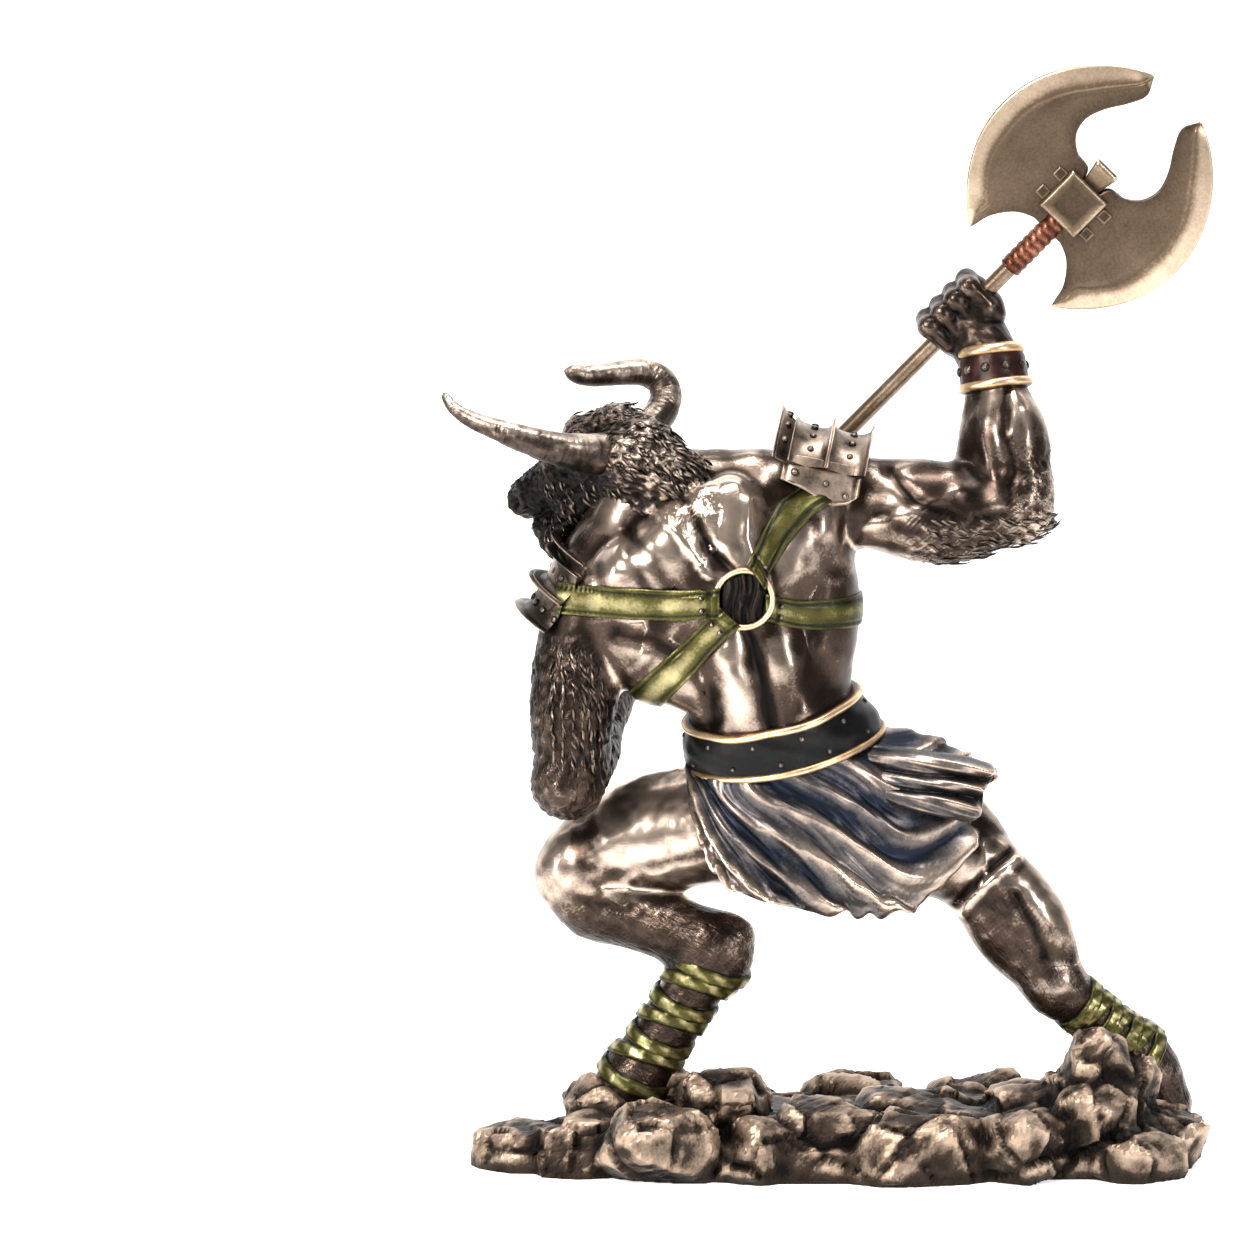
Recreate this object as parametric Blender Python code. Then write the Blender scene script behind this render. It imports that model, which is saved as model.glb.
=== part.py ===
"""Minotaur statue: a cold-cast bronze figure on its rock base, swinging a separate double axe.

The statue is seen from behind, as it is usually photographed: +X is the side of the raised axe, +Y is the
side the figure's chest faces, +Z is up, and z = 0 is the flat underside of the rock.
The figure is built the way a sculptor blocks one out. Muscles are tapered limbs and flat ellipsoids, a voxel
remesh welds them, armour and cloth are laid on top, and a decimation leaves a faceted casting.
"""

import math
import random

import bmesh
import bpy
from mathutils import Matrix, Vector

MM = 0.001

# Driving sizes of the casting, in millimetres. The joints, muscles and rocks below are shares of the whole
# height: they are written for a statue 300 high, and UNIT turns them into this one's millimetres
STATUE_HEIGHT = 300.0       # from the underside to the axe's upper tip, about
UNIT = STATUE_HEIGHT / 300
FIST_TO_SOCKET = 44.5 * UNIT
WELD_VOXEL = 1.0            # grid at which the muscles are welded together
FIGURE_FACES = 8400         # triangles left in the faceted casting
FOOTPRINT_LIFT = 0.0        # the underside of the rock is cut flat at this height

# Driving sizes of the axe, in millimetres
SHAFT_RADIUS = 2.35
SHAFT_CLEARANCE = 0.35      # room between the shaft and the hole through the fist
SHAFT_LENGTH = 109.0        # from the middle of the socket down to the pommel
POMMEL_RADIUS = 3.6
GRIP_RADIUS = 3.3           # cord wound on the shaft below the socket
GRIP_START, GRIP_END = 9.0, 25.5
GRIP_TURNS = 8
BLADE_RADIUS = 33.4         # the two cutting edges lie on one circle
BLADE_CENTRE = 6.0          # of that circle, above the middle of the socket
TIP_REACH = 2.4             # how far the blades' tips reach beyond the circle
BLADE_BEVEL = 6.5           # width of the ground edge
BLADE_THICKNESS = 2.6
EDGE_THICKNESS = 0.5
SOCKET_SIDE = 13.4
SOCKET_DEPTH = 7.0
STUD_SIDE = 3.2
STUD_OFFSET = 3.4           # each stud's distance from the middle line of the socket
WEDGE_LENGTH = 6.5

# Where the axe is: the middle of its socket, and the way its shaft points
SOCKET = Vector((65.6, 3.0, 264.6)) * UNIT
SHAFT_AXIS = Vector((0.679, -0.213, 0.702)).normalized()
BLADE_AXIS = (Vector((0.719, 0.0, -0.695)) - SHAFT_AXIS * Vector((0.719, 0.0, -0.695)).dot(SHAFT_AXIS)).normalized()
FLAT_AXIS = SHAFT_AXIS.cross(BLADE_AXIS)

# Armour and dress
STRAP_WIDTH = 7.4
STRAP_RISE = 1.1
RING_RADIUS = 9.4           # harness ring, to the middle of its wire
RING_WIRE = 1.3
BELT_RISE = 1.6
TRIM_WIDTH = 2.6
TRIM_RISE = 2.6
WRAP_RISE = 1.1


def point(x, y, z):
    """A place on the statue, given in shares of its height."""
    return Vector((x, y, z)) * UNIT


# Joints of the figure, in millimetres
PELVIS = point(-10.0, 1.0, 104.0)
WAIST = point(-15.5, 0.0, 120.0)
CHEST = point(-31.0, 0.0, 158.0)
NECK = point(-47.0, 1.0, 188.0)
SKULL = point(-64.0, 8.0, 194.0)
NOSE = point(-84.3, 20.0, 183.0)
LEFT_SHOULDER = point(-68.5, -1.0, 155.0)
LEFT_ELBOW = point(-73.4, -9.0, 105.5)
LEFT_WRIST = point(-60.5, 36.0, 127.0)
LEFT_FIST = point(-57.0, 44.0, 133.0)
RIGHT_SHOULDER = point(0.0, 3.0, 184.0)
RIGHT_ELBOW = point(48.5, -2.0, 183.5)
RIGHT_WRIST = point(43.8, 7.0, 220.0)
RIGHT_FIST = SOCKET - SHAFT_AXIS * FIST_TO_SOCKET
LEFT_HIP, LEFT_KNEE = point(-21.0, 2.0, 95.0), point(-72.0, 13.0, 77.5)
LEFT_HOCK, LEFT_FETLOCK = point(-32.0, 1.0, 58.5), point(-54.5, 2.0, 22.5)
RIGHT_HIP, RIGHT_KNEE = point(5.0, 4.0, 97.0), point(39.5, 8.0, 79.5)
RIGHT_HOCK, RIGHT_FETLOCK = point(62.0, 1.0, 48.0), point(85.5, 4.0, 29.0)


def torso_forms():
    """Chest, back, belly and hips. A limb is (start, radius, end, radius); a muscle has a half width and a
    half thickness too, and the way it faces."""
    back = Vector((-0.2, -1.0, 0.1))
    return [
        ("limb", PELVIS, 20, WAIST, 20),
        ("limb", WAIST, 20, CHEST, 23),
        ("muscle", point(-62, 0, 150), point(3, 3, 166), 28, 22, back),
        ("muscle", point(-70, 0, 160), point(2, 4, 181), 18, 19, back),
        ("muscle", point(-40, 0, 113), point(12, 2, 121), 13, 18, back),
        ("muscle", point(-36, 2, 100), point(18, 4, 104), 16, 20, back),
        ("limb", point(-52, 5, 187), 10, point(-10, 3, 188), 9),
        ("limb", point(-54, 4, 184), 10, point(-67, -1, 164), 10),
        ("muscle", point(-61, -14, 152), point(-40, -15, 181), 8.5, 7, point(-0.4, -1, 0.3)),
        ("muscle", point(-46, -13, 156), point(-34, -14, 188), 8, 8, point(-0.1, -1, 0.4)),
        ("muscle", point(-25, -16, 160), point(-29, -10, 190), 7.5, 8.5, point(0.2, -1, 0.4)),
        ("muscle", point(-19, -15, 155), point(-2, -9, 185), 9, 8.5, point(0.3, -1, 0.2)),
        ("muscle", point(-62, -9, 158), point(-53, -12, 169), 6.5, 9, point(-0.4, -1, 0.1)),
        ("muscle", point(-66, -3, 166), point(-50, -5, 127), 11, 13, point(-0.5, -1, 0)),
        ("muscle", point(-54, -9, 150), point(-33, -9, 122), 10, 11, point(-0.3, -1, 0)),
        ("muscle", point(-6, 0, 180), point(-8, -2, 122), 13.4, 15, point(0.5, -1, 0)),
        ("muscle", point(-30, -17, 150), point(-24, -14, 118), 5.8, 7, back),
        ("muscle", point(-17, -17, 150), point(-10, -13, 118), 5.8, 7, back),
        ("muscle", point(-58, 12, 172), point(-33, 17, 150), 14, 10, point(-0.2, 1, 0)),
        ("muscle", point(-3, 11, 174), point(-27, 17, 152), 13, 10, point(0.2, 1, 0)),
        ("muscle", point(-27, 16, 144), point(-18, 17, 112), 13, 8, point(0, 1, 0)),
    ]


def arm_forms():
    down = Vector((0.0, -0.3, -1.0))
    return [
        ("limb", LEFT_SHOULDER, 12.5, LEFT_ELBOW, 8.6),
        ("muscle", point(-71, -5, 150), point(-74, -10, 110), 10.2, 9, Vector((0, -1, 0))),
        ("muscle", point(-70, 3, 148), point(-72, 0, 116), 8, 9, Vector((-0.3, 1, 0))),
        ("limb", LEFT_ELBOW, 8.2, LEFT_WRIST, 6.2),
        ("muscle", LEFT_ELBOW, point(-66, 18, 119), 9.2, 8.8, Vector((0.4, 0, -1))),
        ("limb", RIGHT_SHOULDER, 13.5, RIGHT_ELBOW, 10),
        ("muscle", point(6, -3, 178), point(47, -4, 175), 9.5, 10.5, down),
        ("muscle", point(10, 3, 188), point(44, 1, 187), 8.5, 8, Vector((0, 0, 1))),
        ("limb", RIGHT_ELBOW, 9.8, RIGHT_WRIST, 8.2),
        ("muscle", point(51, -3, 186), point(48, 1, 212), 9.2, 9.2, Vector((1, -0.4, 0))),
        ("muscle", point(43, 1, 186), point(43, 5, 210), 8.5, 8.5, Vector((-1, 0, 0))),
        ("limb", point(55, -5, 187), 3.4, point(53.5, -6, 178), 3.6),
    ]


def leg_forms():
    return [
        ("limb", LEFT_HIP, 17.5, LEFT_KNEE + point(4, 0, 5), 11),
        ("muscle", point(-20, 6, 100), point(-74, 15, 84), 12, 15, Vector((0, 0.4, 1))),
        ("limb", LEFT_KNEE, 11.4, LEFT_KNEE + point(8, 0, -7), 10.2),
        ("limb", LEFT_KNEE + point(6, -1, -7), 10.0, LEFT_HOCK + point(-4, 1, 2), 8.8),
        ("limb", LEFT_HOCK, 8.4, LEFT_FETLOCK, 8.2),
        ("limb", LEFT_HOCK + point(5, -1, 3), 4.6, LEFT_HOCK + point(3, 0, -5), 5.4),
        ("limb", LEFT_FETLOCK, 8.8, LEFT_FETLOCK + point(-7, 2, -14), 11.5),
        ("limb", RIGHT_HIP, 18.5, RIGHT_KNEE, 10.3),
        ("muscle", point(6, 10, 106), point(48, 10, 84), 12, 12, Vector((0.4, 0.4, 1))),
        ("muscle", point(14, -4, 94), point(42, 1, 76), 8.5, 9, Vector((-0.2, -1, 0.2))),
        ("muscle", point(39, 4, 88), point(65, 0, 53), 9.6, 10.4, Vector((1, -1, 0.6))),
        ("muscle", point(37, 3, 79), point(57, 2, 50), 8.2, 9.2, Vector((-1, -0.6, -1))),
        ("limb", RIGHT_KNEE + point(6, -1, -7), 9.4, RIGHT_HOCK, 7.0),
        ("limb", RIGHT_HOCK, 7.4, RIGHT_FETLOCK, 6.4),
        ("limb", RIGHT_FETLOCK, 6.6, RIGHT_FETLOCK + point(4, 1, -6), 6.6),
        ("limb", RIGHT_FETLOCK + point(4, 1, -7), 6.8, RIGHT_FETLOCK + point(7, 2, -15), 8.2),
    ]


def head_forms():
    return [
        ("limb", NECK + point(2, 0, -4), 14, SKULL, 11.5),
        ("limb", SKULL, 11.5, SKULL + point(-8, 5, -4), 9.5),
        ("limb", SKULL + point(-7, 4, -3), 8.5, NOSE, 5.8),
        ("muscle", point(-60, 3, 190), point(-77, 11, 180), 8, 6.5, point(-0.6, -0.8, 0)),
        ("limb", point(-66, 11, 178), 7, point(-79, 17, 175), 4.4),
        ("limb", point(-72, 13, 176), 5.6, point(-76.5, 15, 171.5), 5.0),
        ("limb", NOSE + point(-1.5, -3.2, -0.5), 3.4, NOSE + point(3, -4, -0.5), 3),
        ("limb", NOSE + point(2.5, 3.8, -0.5), 3.4, NOSE + point(4, 1, -0.5), 3),
        ("limb", point(-71, 3, 196), 3.4, point(-66, -3, 196), 3.6),
        ("limb", point(-69, 17, 196), 3.4, point(-61, 18, 198), 3.6),
        ("limb", point(-57, -2, 189), 3.6, point(-51, -10, 187), 1.8),
        ("limb", point(-57, 18, 190), 3.6, point(-47, 24, 188), 1.8),
    ]


NEAR_HORN = [(point(-60, -1, 196), 6.2), (point(-68, -8, 196.2), 5.4), (point(-75.5, -12, 197.6), 4.7),
             (point(-82.5, -14, 199.6), 4.0), (point(-89, -15, 201.9), 3.4), (point(-95, -15, 204), 2.8),
             (point(-100.5, -14, 206.3), 2.25), (point(-104.5, -12.5, 209.1), 1.7), (point(-107.2, -11, 212.6), 1.1)]
FAR_HORN = [(point(-59, 14, 197), 5.2), (point(-52, 20, 202), 4.7), (point(-47.8, 25, 206.5), 4.6),
            (point(-46.2, 28, 211), 4.5), (point(-47.6, 29, 215), 4.2), (point(-51.5, 29, 217.3), 3.9),
            (point(-57, 28, 217.6), 3.6), (point(-63, 26, 217), 3.3), (point(-69, 24, 216.8), 2.9),
            (point(-74, 22, 218.2), 1.8)]

# The mane's mass, from the forelock over the nape to its tip above the shoulder blades
MANE = [(point(-70, 8, 201), 5), (point(-60, 5, 201), 8), (point(-54, -2, 195), 11), (point(-47, -8, 191), 7.5),
        (point(-40, -12, 187), 4.5)]
LOCK_ROWS = 7
LOCKS_PER_ROW = 9


def tapered_limb(start, start_radius, end, end_radius):
    """A rounded limb: the hull of a ball at each end."""
    bm = bmesh.new()
    for centre, radius in ((start, start_radius), (end, end_radius)):
        bmesh.ops.create_icosphere(bm, subdivisions=3, radius=radius * UNIT * MM, matrix=Matrix.Translation(centre * MM))
    hull = bmesh.ops.convex_hull(bm, input=bm.verts)
    inside = {e for e in hull["geom_interior"] + hull["geom_unused"] if isinstance(e, bmesh.types.BMVert)}
    bmesh.ops.delete(bm, geom=list(inside), context="VERTS")
    return as_mesh(bm)


def frame_along(start, end, facing):
    """A rotation whose Z runs from start to end and whose Y points the way the muscle faces."""
    along = (end - start).normalized()
    out = (facing - along * facing.dot(along)).normalized()
    side = out.cross(along)
    return Matrix((side, out, along)).transposed().to_4x4()


def flat_muscle(start, end, half_width, half_thickness, facing):
    """An ellipsoid between two points, flattened the way it faces."""
    bm = bmesh.new()
    bmesh.ops.create_icosphere(bm, subdivisions=4, radius=MM)
    size = Matrix.Diagonal((half_width * UNIT, half_thickness * UNIT, (end - start).length / 2, 1))
    place = Matrix.Translation((start + end) / 2 * MM) @ frame_along(start, end, facing) @ size
    bmesh.ops.transform(bm, matrix=place, verts=bm.verts)
    return as_mesh(bm)


def as_mesh(bm):
    bmesh.ops.recalc_face_normals(bm, faces=bm.faces)
    mesh = bpy.data.meshes.new("form")
    bm.to_mesh(mesh)
    bm.free()
    return mesh


def forms_to_meshes(forms):
    made = []
    for kind, *sizes in forms:
        made.append(tapered_limb(*sizes) if kind == "limb" else flat_muscle(*sizes))
    return made


def chain(stations):
    """A curved horn or lock: one limb between each pair of stations."""
    return [tapered_limb(a, ra, b, rb) for (a, ra), (b, rb) in zip(stations, stations[1:])]


def join(meshes, name="joined"):
    """One mesh object that holds several closed meshes."""
    bm = bmesh.new()
    for mesh in meshes:
        bm.from_mesh(mesh)
    mesh = bpy.data.meshes.new(name)
    bm.to_mesh(mesh)
    bm.free()
    obj = bpy.data.objects.new(name, mesh)
    bpy.context.collection.objects.link(obj)
    return obj


def apply_modifiers(obj):
    """Replaces an object's mesh by what its modifiers make of it, and returns the mesh."""
    bpy.context.view_layer.update()
    evaluated = obj.evaluated_get(bpy.context.evaluated_depsgraph_get())
    mesh = bpy.data.meshes.new_from_object(evaluated)
    obj.modifiers.clear()
    obj.data = mesh
    return mesh


def weld(meshes, smooth_steps):
    """The welded skin of overlapping forms: a voxel remesh, with its creases rounded."""
    obj = join(meshes)
    remesh = obj.modifiers.new("weld", "REMESH")
    remesh.mode = "VOXEL"
    remesh.voxel_size = WELD_VOXEL * MM
    if smooth_steps:
        smooth = obj.modifiers.new("round", "SMOOTH")
        smooth.factor = 0.5
        smooth.iterations = smooth_steps
    mesh = apply_modifiers(obj)
    bpy.data.objects.remove(obj)
    return mesh


def band(skin, centre, normal, width, rise):
    """A band that follows a skin: the slice between two planes, swollen by its rise."""
    bm = bmesh.new()
    bm.from_mesh(skin)
    normal = normal.normalized()
    for side in (1, -1):
        bmesh.ops.bisect_plane(
            bm, geom=bm.verts[:] + bm.edges[:] + bm.faces[:], dist=1e-7,
            plane_co=(centre + normal * side * width / 2) * MM, plane_no=normal * side, clear_outer=True)
    keep_island_near(bm, centre * MM)
    bm.normal_update()
    pushes = [(v, (v.normal - normal * v.normal.dot(normal)).normalized() * rise * MM) for v in bm.verts]
    for v, push in pushes:
        v.co += push
    bmesh.ops.holes_fill(bm, edges=[e for e in bm.edges if e.is_boundary], sides=0)
    return as_mesh(bm)


def keep_island_near(bm, place):
    """Deletes all but the connected part whose middle is nearest to a place."""
    left = set(bm.verts)
    islands = []
    while left:
        todo = [left.pop()]
        island = list(todo)
        while todo:
            for edge in todo.pop().link_edges:
                for v in edge.verts:
                    if v in left:
                        left.remove(v)
                        island.append(v)
                        todo.append(v)
        islands.append(island)
    best = min(islands, key=lambda i: (sum((v.co for v in i), Vector()) / len(i) - place).length)
    bmesh.ops.delete(bm, geom=[v for island in islands if island is not best for v in island], context="VERTS")


def wire_ring(centre, normal, radius, wire):
    """A round wire ring."""
    bm = bmesh.new()
    turn = normal.to_track_quat("Z", "Y").to_matrix().to_4x4()
    loop = bmesh.ops.create_circle(bm, segments=12, radius=wire * MM)["verts"]
    bmesh.ops.rotate(bm, verts=loop, matrix=Matrix.Rotation(math.pi / 2, 3, "X"))
    bmesh.ops.translate(bm, verts=loop, vec=(radius * MM, 0, 0))
    bmesh.ops.spin(bm, geom=bm.edges[:], angle=2 * math.pi, steps=40, axis=(0, 0, 1), cent=(0, 0, 0))
    bmesh.ops.remove_doubles(bm, verts=bm.verts, dist=1e-6)
    bmesh.ops.transform(bm, matrix=Matrix.Translation(centre * MM) @ turn, verts=bm.verts)
    return as_mesh(bm)


# Shoulder armour: each lame is a flared ring that covers part of a turn. The profile gives the distance along
# the arm's axis and the outer radius, from the neck side to the arm side
LAME_THICKNESS = 1.6
LAMES = [[(-17.0, 20.5), (-13.5, 17.5), (-9.5, 16.2)],
         [(-11.0, 18.6), (-9.5, 16.6), (-3.5, 16.2), (0.5, 17.2), (2.0, 20.2)],
         [(0.5, 19.2), (2.5, 16.8), (8.0, 16.4), (11.0, 17.2), (13.0, 19.0)]]
PLATE = [(-13.0, 13.6), (-11.0, 16.8), (0.0, 17.4), (8.5, 16.8), (12.0, 14.4)]
RIGHT_GUARD = (point(-2.5, 3.0, 186.5), Vector((1.0, 0.05, -0.10)))
LEFT_GUARD = (point(-66.5, 1.0, 156.0), Vector((-0.62, 0.25, -0.75)))


def spun_plate(profile, thickness, place, first, last, steps=20):
    """A curved plate: a profile with thickness, turned about the axis that place gives, from one angle to
    another. Angle 0 is up, and a quarter turn faces the viewer of the back."""
    centre, axis = place
    axis = axis.normalized()
    bm = bmesh.new()
    outer = [bm.verts.new((radius * UNIT * MM, 0, along * UNIT * MM)) for along, radius in profile]
    inner = [bm.verts.new(((radius * UNIT - thickness) * MM, 0, along * UNIT * MM))
             for along, radius in reversed(profile)]
    face = bm.faces.new(outer + inner)
    bmesh.ops.rotate(bm, verts=bm.verts, matrix=Matrix.Rotation(first, 3, "Z"))
    made = bmesh.ops.spin(
        bm, geom=[face] + face.edges[:] + face.verts[:], angle=last - first, steps=steps, axis=(0, 0, 1),
        cent=(0, 0, 0), use_duplicate=False)
    assert made["geom_last"]
    up = Vector((0, 0, 1))
    up = (up - axis * up.dot(axis)).normalized()
    turn = Matrix((up, axis.cross(up), axis)).transposed().to_4x4()
    bmesh.ops.transform(bm, matrix=Matrix.Translation(centre * MM) @ turn, verts=bm.verts)
    return as_mesh(bm)


def shoulder_guards():
    plates = []
    turn = math.radians
    for profile in LAMES:
        plates.append(spun_plate(profile, LAME_THICKNESS, RIGHT_GUARD, turn(-48), turn(72)))
        plates.append(spun_plate([(a * 0.85, r * 0.86) for a, r in profile], LAME_THICKNESS, LEFT_GUARD,
                                 turn(-66), turn(94)))
    plates.append(spun_plate(PLATE, LAME_THICKNESS + 0.6, RIGHT_GUARD, turn(66), turn(106)))
    return plates


# The kilt's hem: for each heading round the waist, in degrees from +X over the front, where the hem hangs
HEM = [(0, point(43, -5, 107)), (22, point(38, 8, 98)), (55, point(20, 20, 84)), (90, point(-6, 24, 78)),
       (125, point(-28, 20, 84)), (155, point(-38, 10, 93)), (180, point(-40.5, 0, 99)), (205, point(-37, -12, 90)),
       (228, point(-30, -19, 79)), (250, point(-19, -22, 73.5)), (275, point(0, -23, 71.5)),
       (300, point(17, -20, 71)), (318, point(27, -17, 76)), (332, point(37, -14, 87)), (345, point(39, -13, 97))]
KILT_TOP = (point(-14.5, 0.5, 115.4), 26.0 * UNIT, 20.5 * UNIT, 0.20)   # middle, half widths along X and Y, slope to the right
KILT_RISE = 0.22                                # slope of the kilt's top towards the front
FOLD_COUNT = 14
FOLD_SWEEP = 10.0           # how far the folds lean to +X on their way down, in radians of wave
FOLD_DEPTH = 1.7
KILT_RINGS = 14
KILT_STEPS = 130


def hem_point(heading):
    """The hem at a heading in radians, read smoothly between the points of HEM."""
    degrees = math.degrees(heading) % 360
    stops = HEM + [(HEM[0][0] + 360, HEM[0][1])]
    for i in range(len(HEM)):
        if stops[i][0] <= degrees <= stops[i + 1][0]:
            share = (degrees - stops[i][0]) / (stops[i + 1][0] - stops[i][0])
            p0, p1, p2, p3 = HEM[i - 1][1], stops[i][1], stops[i + 1][1], HEM[(i + 2) % len(HEM)][1]
            return 0.5 * (2 * p1 + (p2 - p0) * share + (2 * p0 - 5 * p1 + 4 * p2 - p3) * share ** 2
                          + (3 * p1 - p0 - 3 * p2 + p3) * share ** 3)


def kilt():
    """The wind-swept kilt as a closed loft from the belt to the hem, with folds that run down and to +X."""
    middle, half_x, half_y, slope = KILT_TOP
    bm = bmesh.new()
    rings = []
    for ring in range(KILT_RINGS + 1):
        down = ring / KILT_RINGS
        verts = []
        for step in range(KILT_STEPS):
            heading = 2 * math.pi * step / KILT_STEPS
            belt = middle + point(half_x * math.cos(heading), half_y * math.sin(heading),
                                  slope * half_x * math.cos(heading) + KILT_RISE * half_y * math.sin(heading))
            hem = hem_point(heading)
            spot = belt.lerp(hem, down) + point(0, 0, 5.0 * math.sin(math.pi * down))
            out = Vector((math.cos(heading), math.sin(heading), 0.25))
            wave = 1.3 - 2.2 * abs(math.sin(0.5 * (FOLD_COUNT * heading - FOLD_SWEEP * down ** 1.4)))
            wave += 0.5 * math.sin(5 * heading - 0.4 * FOLD_SWEEP * down + 1)
            spot += out * FOLD_DEPTH * wave * (0.25 + 0.75 * down)
            verts.append(bm.verts.new(spot * MM))
        rings.append(verts)
    for upper, lower in zip(rings, rings[1:]):
        for i in range(KILT_STEPS):
            j = (i + 1) % KILT_STEPS
            bm.faces.new((upper[i], lower[i], lower[j], upper[j]))
    for ring, centre in ((rings[0], middle), (rings[-1], point(-2, 1, 92))):
        hub = bm.verts.new(centre * MM)
        for i in range(KILT_STEPS):
            bm.faces.new((ring[i], ring[(i + 1) % KILT_STEPS], hub))
    return as_mesh(bm)


def kilt_tails():
    """The blown ends of the kilt: rolls of cloth that stream off to +X."""
    rolls = [[(point(12, -12, 116), 6), (point(30, -11, 112), 4.0), (point(41.5, -10, 110.2), 2.9)],
             [(point(18, -13, 108), 7), (point(33, -12, 105), 4.6), (point(42, -11, 103.2), 3.3)],
             [(point(20, -14, 99), 7), (point(31, -14, 98), 4.4), (point(37, -13, 96.8), 2.6)]]
    return [limb for roll in rolls for limb in chain(roll)]


def mane_locks():
    """Rows of pointed locks that hang down the mane and lift off it at their tips."""
    locks = []
    rng = random.Random(11)
    for row in range(LOCK_ROWS):
        share = row / (LOCK_ROWS - 1)
        place, girth = read_chain(MANE, 0.10 + 0.85 * share)
        ahead, _ = read_chain(MANE, min(1.0, 0.20 + 0.85 * share))
        flow = (ahead - place).normalized() if (ahead - place).length > 0.1 else Vector((0.4, -0.3, -0.8))
        side = flow.cross(Vector((0.5, -0.8, 0.3))).normalized()
        out = side.cross(flow).normalized()
        for i in range(LOCKS_PER_ROW):
            angle = math.radians(-115 + 230 * i / (LOCKS_PER_ROW - 1) + rng.uniform(-8, 8))
            radial = out * math.cos(angle) + side * math.sin(angle)
            root = place + radial * girth * 0.86
            tip = root + flow * rng.uniform(6.5, 9.0) + radial * 1.2 + Vector((0, 0, -2.0))
            locks += chain([(root, 2.2), (root.lerp(tip, 0.5) + radial * 0.9, 1.9), (tip, 0.6)])
    return locks


def read_chain(stations, share):
    """The place and radius at a share of a chain's length of stations."""
    scaled = min(share, 0.9999) * (len(stations) - 1)
    i = int(scaled)
    (a, ra), (b, rb) = stations[i], stations[i + 1]
    return a.lerp(b, scaled - i), ra + (rb - ra) * (scaled - i)


def right_fist():
    """The hand round the shaft: the palm, four curled fingers on the viewer's side and the thumb."""
    across = FLAT_AXIS if FLAT_AXIS.y < 0 else -FLAT_AXIS
    heel = BLADE_AXIS
    forms = [tapered_limb(RIGHT_WRIST, 8.4, RIGHT_FIST + heel * 4 - across * 1.0, 8.6)]
    forms.append(tapered_limb(RIGHT_FIST + SHAFT_AXIS * 5 + heel * 2.5, 7.0, RIGHT_FIST - SHAFT_AXIS * 4 + heel * 3, 6.5))
    for finger in range(4):
        along = SHAFT_AXIS * (8.2 - 5.2 * finger)
        knuckle = RIGHT_FIST + along - heel * 6.0 - across * 2.0
        bend = RIGHT_FIST + along - heel * 4.6 + across * 4.6
        tip = RIGHT_FIST + along + heel * 2.8 + across * 4.4
        forms += chain([(knuckle + heel * 4 - across * 4, 3.2), (knuckle, 3.1), (bend, 2.9), (tip, 2.5)])
    thumb = RIGHT_FIST + SHAFT_AXIS * 7
    forms += chain([(RIGHT_FIST + heel * 6, 4.6), (thumb + heel * 5.5 + across * 1.5, 3.5), (thumb - heel * 1 + across * 3.5, 2.8)])
    return forms


def left_fist():
    """The clenched left hand in front of the belly."""
    forms = [tapered_limb(LEFT_WRIST, 6.4, LEFT_FIST, 7.4)]
    for finger in range(4):
        base = LEFT_FIST + point(4.5 - 3.6 * finger, 4.6, 3.4 - 0.5 * finger)
        forms += chain([(base, 2.7), (base + point(0.6, 4.4, -3.6), 2.6), (base + point(1.0, 1.2, -7.6), 2.4)])
    forms += chain([(LEFT_FIST + point(6.5, 0, -1), 3.3), (LEFT_FIST + point(6.5, 7, -3), 2.8),
                    (LEFT_FIST + point(1.5, 9.5, -4.5), 2.5)])
    return forms


# Boulders of the base: middle, half sizes and turn, largest first. The front row is the one the viewer sees
BOULDERS = [
    (point(-60, -4, 4), point(32, 30, 11), 0.2), (point(-10, -4, 4), point(46, 38, 12), 0.0),
    (point(50, -2, 5), point(44, 38, 14), -0.1), (point(80, 2, 6), point(22, 30, 15), 0.4),
    (point(-87, -12, 3), point(17, 15, 9), 0.5), (point(-49, -32, 7), point(18, 15, 15), 0.3),
    (point(-64, -3, 13), point(9, 11, 12), -0.4), (point(-31, -13, 15), point(14, 15, 13), 0.1),
    (point(-20, -30, 5), point(14, 13, 13), 0.9), (point(-3, -21, 9), point(17, 15, 12), 0.2),
    (point(26, -31, 6), point(25, 15, 15), 0.1), (point(22, -10, 11), point(20, 16, 11), -0.3),
    (point(50, -30, 9), point(16, 15, 13), 0.6), (point(52, -12, 15), point(11, 12, 10), 0.2),
    (point(70, -22, 14), point(15, 15, 15), -0.5), (point(71, -15, 26), point(11.5, 11, 14.5), 0.3),
    (point(80, -11, 20), point(9, 11, 12), 0.7), (point(91, -8, 5), point(12, 16, 12), 0.1),
    (point(82, -28, 4), point(14, 12, 11), 0.8), (point(-60, 14, 9), point(17, 16, 13), 0.4),
    (point(-45, 2, 17), point(8, 9, 10), 0.3), (point(-28, 26, 6), point(20, 14, 13), 0.1),
    (point(8, 26, 7), point(20, 16, 13), -0.6), (point(44, 26, 7), point(20, 15, 14), 0.5),
    (point(74, 24, 8), point(18, 16, 16), 0.2), (point(92, 8, 6), point(11, 13, 9), 0.3),
]
BOULDER_CORNERS = 26


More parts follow.
